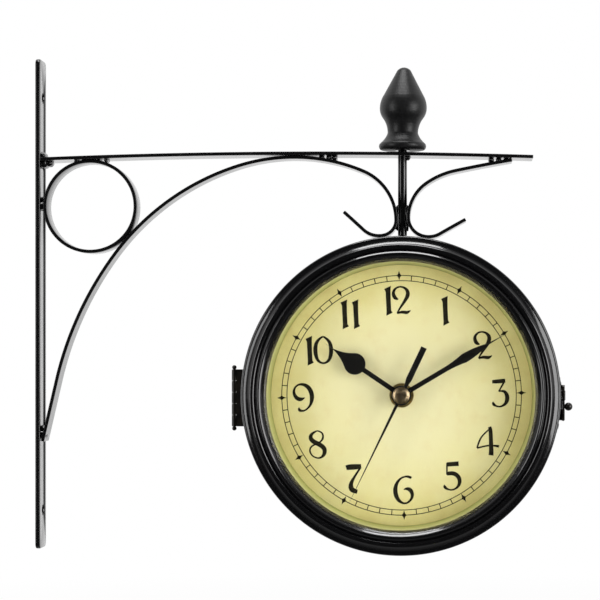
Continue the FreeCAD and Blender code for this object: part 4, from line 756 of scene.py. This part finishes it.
strokes = {
    "0": [[(0, .97, .05), (-.21, .86, .09), (-.29, .5, .14), (-.21, .14, .09), (0, .03, .05), (.21, .14, .09),
           (.29, .5, .14), (.21, .86, .09), (0, .97, .05)]],
    "2": [[(-.10, .535, .03), (-.17, .55, .10), (-.25, .64, .12), (-.275, .80, .09), (-.15, .95, .055),
           (.04, .97, .05), (.21, .86, .10), (.245, .68, .13), (.11, .45, .09), (-.06, .22, .06),
           (-.15, .06, .04)],
          [(-.15, .05, .05), (-.03, .10, .08), (.1, .085, .10), (.22, .07, .10), (.31, .15, .02)]],
    "3": [[(-.26, .90, .10), (-.05, .905, .14), (.19, .93, .12)], [(.16, .90, .06), (-.04, .56, .045)],
          [(-.04, .565, .04), (.12, .60, .07), (.235, .47, .12), (.255, .29, .14), (.18, .12, .09),
           (0, .03, .045), (-.16, .07, .06), (-.25, .15, .11), (-.24, .22, .02)]],
    "4": [[(.075, .99, .10), (.105, .9, .12), (.11, .5, .125), (.115, .1, .14), (.10, .01, .15)],
          [(.08, .92, .04), (-.17, .72, .05), (-.31, .48, .055), (-.37, .27, .05)],
          [(-.37, .265, .05), (-.1, .34, .05), (.2, .35, .05), (.38, .31, .08)]],
    "5": [[(-.18, .92, .13), (.22, .94, .14)], [(-.18, .97, .05), (-.19, .57, .05)],
          [(-.19, .60, .11), (0, .64, .13), (.20, .52, .13), (.26, .32, .12), (.17, .12, .07),
           (-.03, .03, .045), (-.2, .08, .06), (-.29, .16, .11), (-.28, .23, .02)]],
    "6": [[(.28, .92, .07), (.2, .96, .09), (.08, .98, .05), (-.1, .92, .06), (-.25, .73, .10),
           (-.30, .47, .145),
           (-.22, .20, .12), (-.03, .04, .06), (.17, .08, .06), (.31, .28, .09), (.27, .48, .13),
           (.13, .575, .11), (.0, .53, .02)]],
    "7": [[(-.27, .88, .14), (-.2, .90, .17), (.1, .905, .17), (.25, .92, .13)],
          [(.21, .86, .06), (.04, .61, .06), (-.10, .38, .11), (-.13, .21, .15), (-.06, .09, .16),
           (.1, .05, .12)]],
    "8": [[(0, .975, .04), (-.18, .9, .08), (-.25, .74, .13), (-.14, .6, .14), (.09, .50, .14),
           (.245, .36, .14),
           (.24, .19, .12), (.15, .07, .07), (0, .025, .045), (-.2, .12, .045), (-.28, .30, .05),
           (-.22, .44, .05), (-.08, .51, .05), (.09, .58, .05), (.19, .69, .065), (.2, .84, .055),
           (.13, .94, .045), (0, .975, .04)]],
    "9": [[(.05, .49, .02), (-.07, .42, .13), (-.23, .47, .12), (-.33, .65, .09), (-.30, .82, .06),
           (-.18, .94, .05), (0, .955, .09), (.18, .86, .13), (.29, .65, .14), (.30, .44, .13),
           (.24, .22, .07), (.08, .06, .05), (-.06, .03, .06), (-.17, .08, .11), (-.15, .16, .02)]],
}
stem = ((-.13, .90), (.10, 1.0), (.085, .86), (.085, .5), (.095, .16), (.14, .08), (-.075, -.02),
        (-.065, .14), (-.075, .5), (-.085, .80))
dialPrint = {
    "numeral": 15.2, "across": 51.2, "up": 49.5, "lean": -1.2, "outer": 62.4, "inner": 59.7, "line": 0.42,
    "diamond": 5.1, "diamondWidth": 2.5, "lift": 0.03, "weight": 1.3,
    "digit": 0.62, "stem": 0.24, "hole": 4.05, "ink": 0.01, "tickInk": 0.012, "tickShare": 0.55,
    "waist": 0.4, "waistRise": 0.36,                          # of a diamond, as shares of its halves
    "gap": {10: 0.04, 11: 0.145, 12: 0.015},                  # of two digits, in numeral heights
    "shift": {1: (-2.0, 0.8), 2: (-1.6, 0.4), 10: (1.9, -0.4), 11: (-0.3, 0), 12: (-1.1, 0)},
}


def brush(points, scale, at, depth):
    # one stroke: a flattened tube along a smooth curve, as wide as the brush pressed
    curve = bpy.data.curves.new("stroke", "CURVE")
    curve.dimensions = "3D"
    curve.bevel_depth = 1
    curve.bevel_resolution = 1
    curve.use_fill_caps = True
    spline = curve.splines.new("NURBS")
    spline.points.add(len(points) - 1)
    for point, (x, y, width) in zip(spline.points, points):
        point.co = (x * scale + at[0], 0, y * scale + at[1], 1)
        point.radius = width * scale / 2 * dialPrint["weight"]
    spline.order_u = min(3, len(points))
    spline.use_endpoint_u = True
    spline.resolution_u = 5
    thing = bpy.data.objects.new("stroke", curve)
    mesh = bpy.data.meshes.new_from_object(thing)
    bm = bmesh.new()
    bm.from_mesh(mesh)
    bmesh.ops.scale(bm, verts=bm.verts, vec=(1, 0.01, 1))
    shift(bm, (0, depth, 0))
    bpy.data.objects.remove(thing)
    bpy.data.curves.remove(curve)
    bpy.data.meshes.remove(mesh)
    return bm


def numeral(hour, centre, depth):
    # the digits of one hour, centred on a spot of the dial
    p, text = dialPrint, str(hour)
    size, gap = p["numeral"], p["gap"].get(hour, 0)
    widths = [p["stem"] if digit == "1" else p["digit"] for digit in text]
    total = sum(widths) + gap * (len(text) - 1)
    pen, parts = -total / 2, []
    for digit, width in zip(text, widths):
        at = (centre[0] + (pen + width / 2) * size, centre[1] - size / 2)
        if digit == "1":
            points = [(x * size + at[0], y * size + at[1]) for x, y in stem]
            parts.append(slab(points, depth + p["ink"], depth - p["ink"], 0))
        else:
            parts += [brush(stroke, size, at, depth) for stroke in strokes[digit]]
        pen += width + gap
    return parts


def makeDial(side):
    c, p = caseShape, dialPrint
    body = "door" if side == "front" else "case"
    space = sideSpace(side)
    face, outer = -c["dialDepth"], c["rim"] - c["gauge"] - c["play"]
    profile = outline(((p["hole"], face), (outer, face), (outer, face + c["dialGauge"]),
                       (p["hole"], face + c["dialGauge"])))
    dial = finish(lathe(profile, "Y", 160), side + "DialPaper", paper, space)
    wear(dial, body, [side + "_dial"])
    depth = face - p["lift"]
    parts = []
    for radius in (p["outer"], p["inner"]):
        half = p["line"] / 2
        back = depth + 2 * p["ink"]
        parts.append(lathe(((radius - half, depth), (radius + half, depth), (radius + half, back),
                            (radius - half, back)), "Y", 160))
    for minute in range(60):
        angle = math.radians(6 * minute + p["lean"])
        if minute % 5 == 0:
            long, wide, middle = p["diamond"] / 2, p["diamondWidth"] / 2, p["outer"]
            x, z = wide * p["waist"], long * p["waistRise"]
            points = [(wide, 0), (x, z), (0, long), (-x, z), (-wide, 0), (-x, -z), (0, -long), (x, -z)]
            points = [(x, middle + z) for x, z in points]
        else:
            half = p["line"] * p["tickShare"]
            points = [(-half, p["inner"]), (half, p["inner"]), (half, p["outer"]), (-half, p["outer"])]
        tick = slab(points, depth + p["ink"], depth - p["tickInk"], 0)
        tick.transform(Matrix.Rotation(angle, 4, "Y"))
        parts.append(tick)
    for hour in range(1, 13):
        angle = math.radians(30 * hour)
        aside, above = p["shift"].get(hour, (0, 0))
        centre = (p["across"] * math.sin(angle) + aside, p["up"] * math.cos(angle) + above)
        digits = numeral(hour, centre, depth)
        for digit in digits:
            digit.transform(Matrix.Rotation(math.radians(p["lean"]), 4, "Y"))
        parts += digits
    printed = finish(gather(*parts), side + "DialPrint", ink, space, closed=False)
    wear(printed, body)


# ---- hands

handShape = {
    "gauge": 0.5, "hourLevel": 21.4, "minuteLevel": 23.3, "secondLevel": 25.2, "hourAngle": 304.1,
    "minuteAngle": 59.3, "secondAngle": 205.4, "shaft": 1.25, "hub": 5.1, "cap": 4.4, "capHeight": 1.3,
    "edge": 0.12, "arcSteps": 10,
}
hourHand = {"length": 47.6, "bulb": 29.2, "bulbRadius": 5.6, "boss": 4.55, "cheek": (0.82, 0.57),
            "sweep": 1.25}
minuteHand = {"length": 63.2, "start": 25.9, "middle": 37.8, "end": 51.8, "half": 2.45, "boss": 3.75,
              "swell": 5, "taper": 4}
secondHand = {"length": 63.4, "tail": 27.5, "tailHalf": 1.55, "tip": 0.7}


def mirrored(right):
    # closes an outline drawn up its right side, about the middle line
    corners = list(right)
    for number in range(len(right) - 2, -1, -1):
        above = right[number + 1]
        corners.append((-right[number][0], right[number][1]) + tuple(above[2:]))
    return corners


def seatHand(bm, side, angle, name, replaced):
    # turns a hand to the time it shows and puts it on its own arbor
    bm.transform(Matrix.Rotation(math.radians(angle), 4, "Y"))
    hand = finish(bm, side + name, handPaint, sideSpace(side))
    kind = "_hour" if "Hour" in name else "_minute" if "Minute" in name else "_seconds"
    wear(hand, side + kind, replaced)


def hubDisc(radius, front, back, edge=0.2):
    # the round boss of a hand
    profile = outline(((0, front), (radius - edge, front), (radius, front + edge), (radius, back), (0, back)))
    return lathe(profile, "Y", 64)


def makeHands(side):
    h, gauge = handShape, handShape["gauge"]
    s, m = hourHand, minuteHand
    neck = math.sqrt(s["bulbRadius"] ** 2 - h["shaft"] ** 2)
    right = ((h["shaft"], 0), (h["shaft"], s["bulb"] - neck), (s["bulbRadius"], s["bulb"], s["bulbRadius"]),
             (s["bulbRadius"] * s["cheek"][0], s["bulb"] + s["bulbRadius"] * s["cheek"][1], s["bulbRadius"]),
             (gauge / 3, s["length"], -(s["length"] - s["bulb"]) * s["sweep"]))
    level = -h["hourLevel"]
    bm = gather(slab(outline(mirrored(right), h["arcSteps"]), level, level - gauge, h["edge"]),
                hubDisc(s["boss"], level - gauge, level))
    seatHand(bm, side, h["hourAngle"], "HourHand", [side + "_hour_hand"])
    right = ((h["shaft"], 0), (h["shaft"], m["start"]),
             (m["half"], m["middle"], -(m["middle"] - m["start"]) * m["swell"]),
             (gauge, m["end"], (m["end"] - m["middle"]) * m["taper"]), (gauge / 2, m["length"]))
    level = -h["minuteLevel"]
    bm = gather(slab(outline(mirrored(right), h["arcSteps"]), level, level - gauge, h["edge"]),
                hubDisc(m["boss"], level - gauge, level))
    seatHand(bm, side, h["minuteAngle"], "MinuteHand", [side + "_minute_hand"])
    t = secondHand
    root = t["tailHalf"] / 2
    right = ((t["tailHalf"], -t["tail"]), (t["tailHalf"], -t["tail"] / 3), (root, -h["hub"]),
             (root, h["hub"]), (root * t["tip"], t["length"]))
    level = -h["secondLevel"]
    bm = gather(slab(outline(mirrored(right), h["arcSteps"]), level, level - gauge, h["edge"]),
                hubDisc(h["hub"], level - 2 * gauge, level))
    seatHand(bm, side, h["secondAngle"], "SecondHand", [side + "_second_hand"])
    back = level - 2 * gauge
    dome = (h["cap"] ** 2 + h["capHeight"] ** 2) / (2 * h["capHeight"])
    profile = outline(((0, back), (0, back - h["capHeight"]), (h["cap"], back, dome)), 16)
    cap = finish(lathe(profile, "Y", 96), side + "Cap", brass, sideSpace(side), 50)
    wear(cap, side + "_seconds")


for side in ("front", "rear"):
    makeShell(side)
    makeGlazing(side)
    makeDial(side)
    makeHands(side)
print("case, dials and hands ready")


# ---- what stays as the frame has it, merged and shaded smooth where it is round

def dress(node, material, body, crease=30):
    # a merged copy of a node that takes its place, with a finish of its own
    bm = bmesh.new()
    bm.from_mesh(nodes[node].data)
    piece = finish(bm, node.replace("_", "-") + "-dressed", material, Matrix.Identity(4), crease)
    wear(piece, body, [node])


bodyOf = {node: body for body, group in frame["record"]["behaviour"]["bodies"].items() for node in group}
innerFinish = {
    "movement_housing": blackAbs, "movement_cover": blackAbs, "dial_nut": nutBrass,
    "circuit_board": resinBoard, "motor_coil": copper, "battery": cellSleeve, "battery_contacts": nickel,
    "rotor": acetal, "step_wheel": acetal, "seconds_wheel": acetal, "minute_wheel": acetal,
    "motion_wheel": acetal, "hour_wheel": acetal, "setting_knob": acetal,
}
dressed = {"%s_%s" % (side, part): finishName for side in ("front", "rear")
           for part, finishName in innerFinish.items()}
dressed.update({
    "rod_fasteners": blackSteel, "front_hinge_leaf": bronzed, "rear_hinge_leaf": bronzed,
    "pivot_pins": bronzed, "staple_plate": bronzed, "hasp_plate": bronzed, "hasp_flap": bronzed,
    "front_rivets": plated, "rear_rivets": plated,
})
for node, material in dressed.items():
    dress(node, material, bodyOf[node])
print("inner pieces dressed")


# ---- floor, light and camera

studio = {
    "floorDrop": 0.30, "floorAcross": 0.15, "floorReach": 6, "floorShare": 0.85, "floorFade": (0.5, 1.4),
    "floorShine": (-0.15, 0.5), "around": 0.54, "infront": 0.03, "turnsWhite": (-0.45, 0.3),
    "right": {"spot": (1.0, -0.55, -0.05), "size": (0.5, 0.9), "power": 7.0},
    "left": {"spot": (-0.65, -0.6, 0.0), "size": (0.3, 0.9), "power": 3.2},
    "top": {"spot": (0.15, -0.2, 0.95), "size": (0.6, 0.25), "power": 4.6},
}


def makeFloor():
    bm = bmesh.new()
    bmesh.ops.create_grid(bm, x_segments=1, y_segments=1, size=studio["floorReach"])
    shift(bm, (studio["floorAcross"], 0, -studio["floorDrop"]))
    # pale painted board: keeps the shadow near the clock and runs into the white further off
    material, shader = newMaterial("paintedBoard", "#f4f4f3", 0.8)
    fadeStart, fadeEnd = studio["floorFade"]
    shineStart, shineEnd = studio["floorShine"]
    spot = objectSpot(material, (studio["floorAcross"], 0, 0), scale=(1, 1, 0))
    away = addNode(material, "VectorMath", {0: spot}, operation="LENGTH")
    share = addNode(material, "MapRange", {0: away.outputs["Value"], 1: fadeStart, 2: fadeEnd,
                                           3: studio["floorShare"], 4: 1.0})
    glow = addNode(material, "Emission", {"Color": (1, 1, 1, 1), "Strength": 1.0})
    path = addNode(material, "LightPath")
    white = addNode(material, "Math", {0: path.outputs["Is Camera Ray"], 1: share.outputs[0]},
                    operation="MULTIPLY")
    plain = addNode(material, "MixShader", {0: white.outputs[0], 1: shader.outputs[0], 2: glow.outputs[0]})
    way = addNode(material, "SeparateXYZ", {0: spot})
    behind = addNode(material, "MapRange", {0: way.outputs["Y"], 1: shineStart, 2: shineEnd,
                                            3: studio["infront"], 4: 1.0})
    shine = addNode(material, "Emission", {"Color": (1, 1, 1, 1), "Strength": behind.outputs[0]})
    seen = addNode(material, "Math", {0: path.outputs["Is Glossy Ray"],
                                      1: path.outputs["Is Transmission Ray"]}, operation="MAXIMUM")
    both = addNode(material, "MixShader", {0: seen.outputs[0], 1: plain.outputs[0], 2: shine.outputs[0]})
    surface = material.node_tree.nodes["Material Output"].inputs["Surface"]
    material.node_tree.links.new(both.outputs[0], surface)
    finish(bm, "floor", material, Matrix.Identity(4), closed=False)


def makeWorld():
    # white to the eye; in the enamel it is white behind the clock and dark in front, as in a studio
    world = bpy.data.worlds.new("studio")
    world.use_nodes = True
    scene.world = world
    back = world.node_tree.nodes["Background"]
    back.inputs["Color"].default_value = (1, 1, 1, 1)
    path = addNode(world, "LightPath")
    way = addNode(world, "SeparateXYZ", {0: addNode(world, "TexCoord").outputs["Generated"]})
    whiteStart, whiteEnd = studio["turnsWhite"]
    behind = addNode(world, "MapRange", {0: way.outputs["Y"], 1: whiteStart, 2: whiteEnd,
                                         3: studio["infront"], 4: 1.0}, interpolation_type="SMOOTHSTEP")
    seen = addNode(world, "Math", {0: path.outputs["Is Glossy Ray"], 1: path.outputs["Is Transmission Ray"]},
                   operation="MAXIMUM")
    shiny = addNode(world, "MapRange", {0: seen.outputs[0], 3: studio["around"], 4: behind.outputs[0]})
    level = addNode(world, "MapRange", {0: path.outputs["Is Camera Ray"], 3: shiny.outputs[0], 4: 1.0})
    world.node_tree.links.new(level.outputs[0], back.inputs["Strength"])


def addLamp(name):
    # a soft box turned to the middle of the case
    box = studio[name]
    lamp = bpy.data.lights.new(name, "AREA")
    lamp.shape = "RECTANGLE"
    lamp.size, lamp.size_y = box["size"]
    lamp.energy = box["power"]
    thing = bpy.data.objects.new(name, lamp)
    thing.location = box["spot"]
    thing.rotation_euler = (caseCentre - Vector(box["spot"])).to_track_quat("-Z", "Y").to_euler()
    scene.collection.objects.link(thing)


cameraSet = {
    "distance": 1.0, "scale": 0.53, "frame": 600, "axisPixel": (450, 360),   # mm to the pixel at the rod
    "axis": (0.21819, -0.0296), "sensor": 36,
}


def makeCamera():
    # level and square to the dial, shifted so that the rod falls where the picture has it
    c = cameraSet
    camera = bpy.data.cameras.new("camera")
    thing = bpy.data.objects.new("camera", camera)
    scene.collection.objects.link(thing)
    thing.location = (c["axis"][0], -c["distance"], c["axis"][1])
    thing.rotation_euler = (math.radians(90), 0, 0)
    camera.sensor_fit = "HORIZONTAL"
    camera.sensor_width = c["sensor"]
    camera.lens = c["sensor"] * c["distance"] / mm(c["scale"] * c["frame"])
    half = c["frame"] / 2
    camera.shift_x = (half - c["axisPixel"][0]) / c["frame"]
    camera.shift_y = (c["axisPixel"][1] - half) / c["frame"]
    camera.dof.use_dof = False
    camera.clip_start = 0.01
    scene.camera = thing


makeFloor()
makeWorld()
for name in ("right", "left", "top"):
    addLamp(name)
makeCamera()
scene.view_settings.view_transform = "Standard"
print("studio ready")
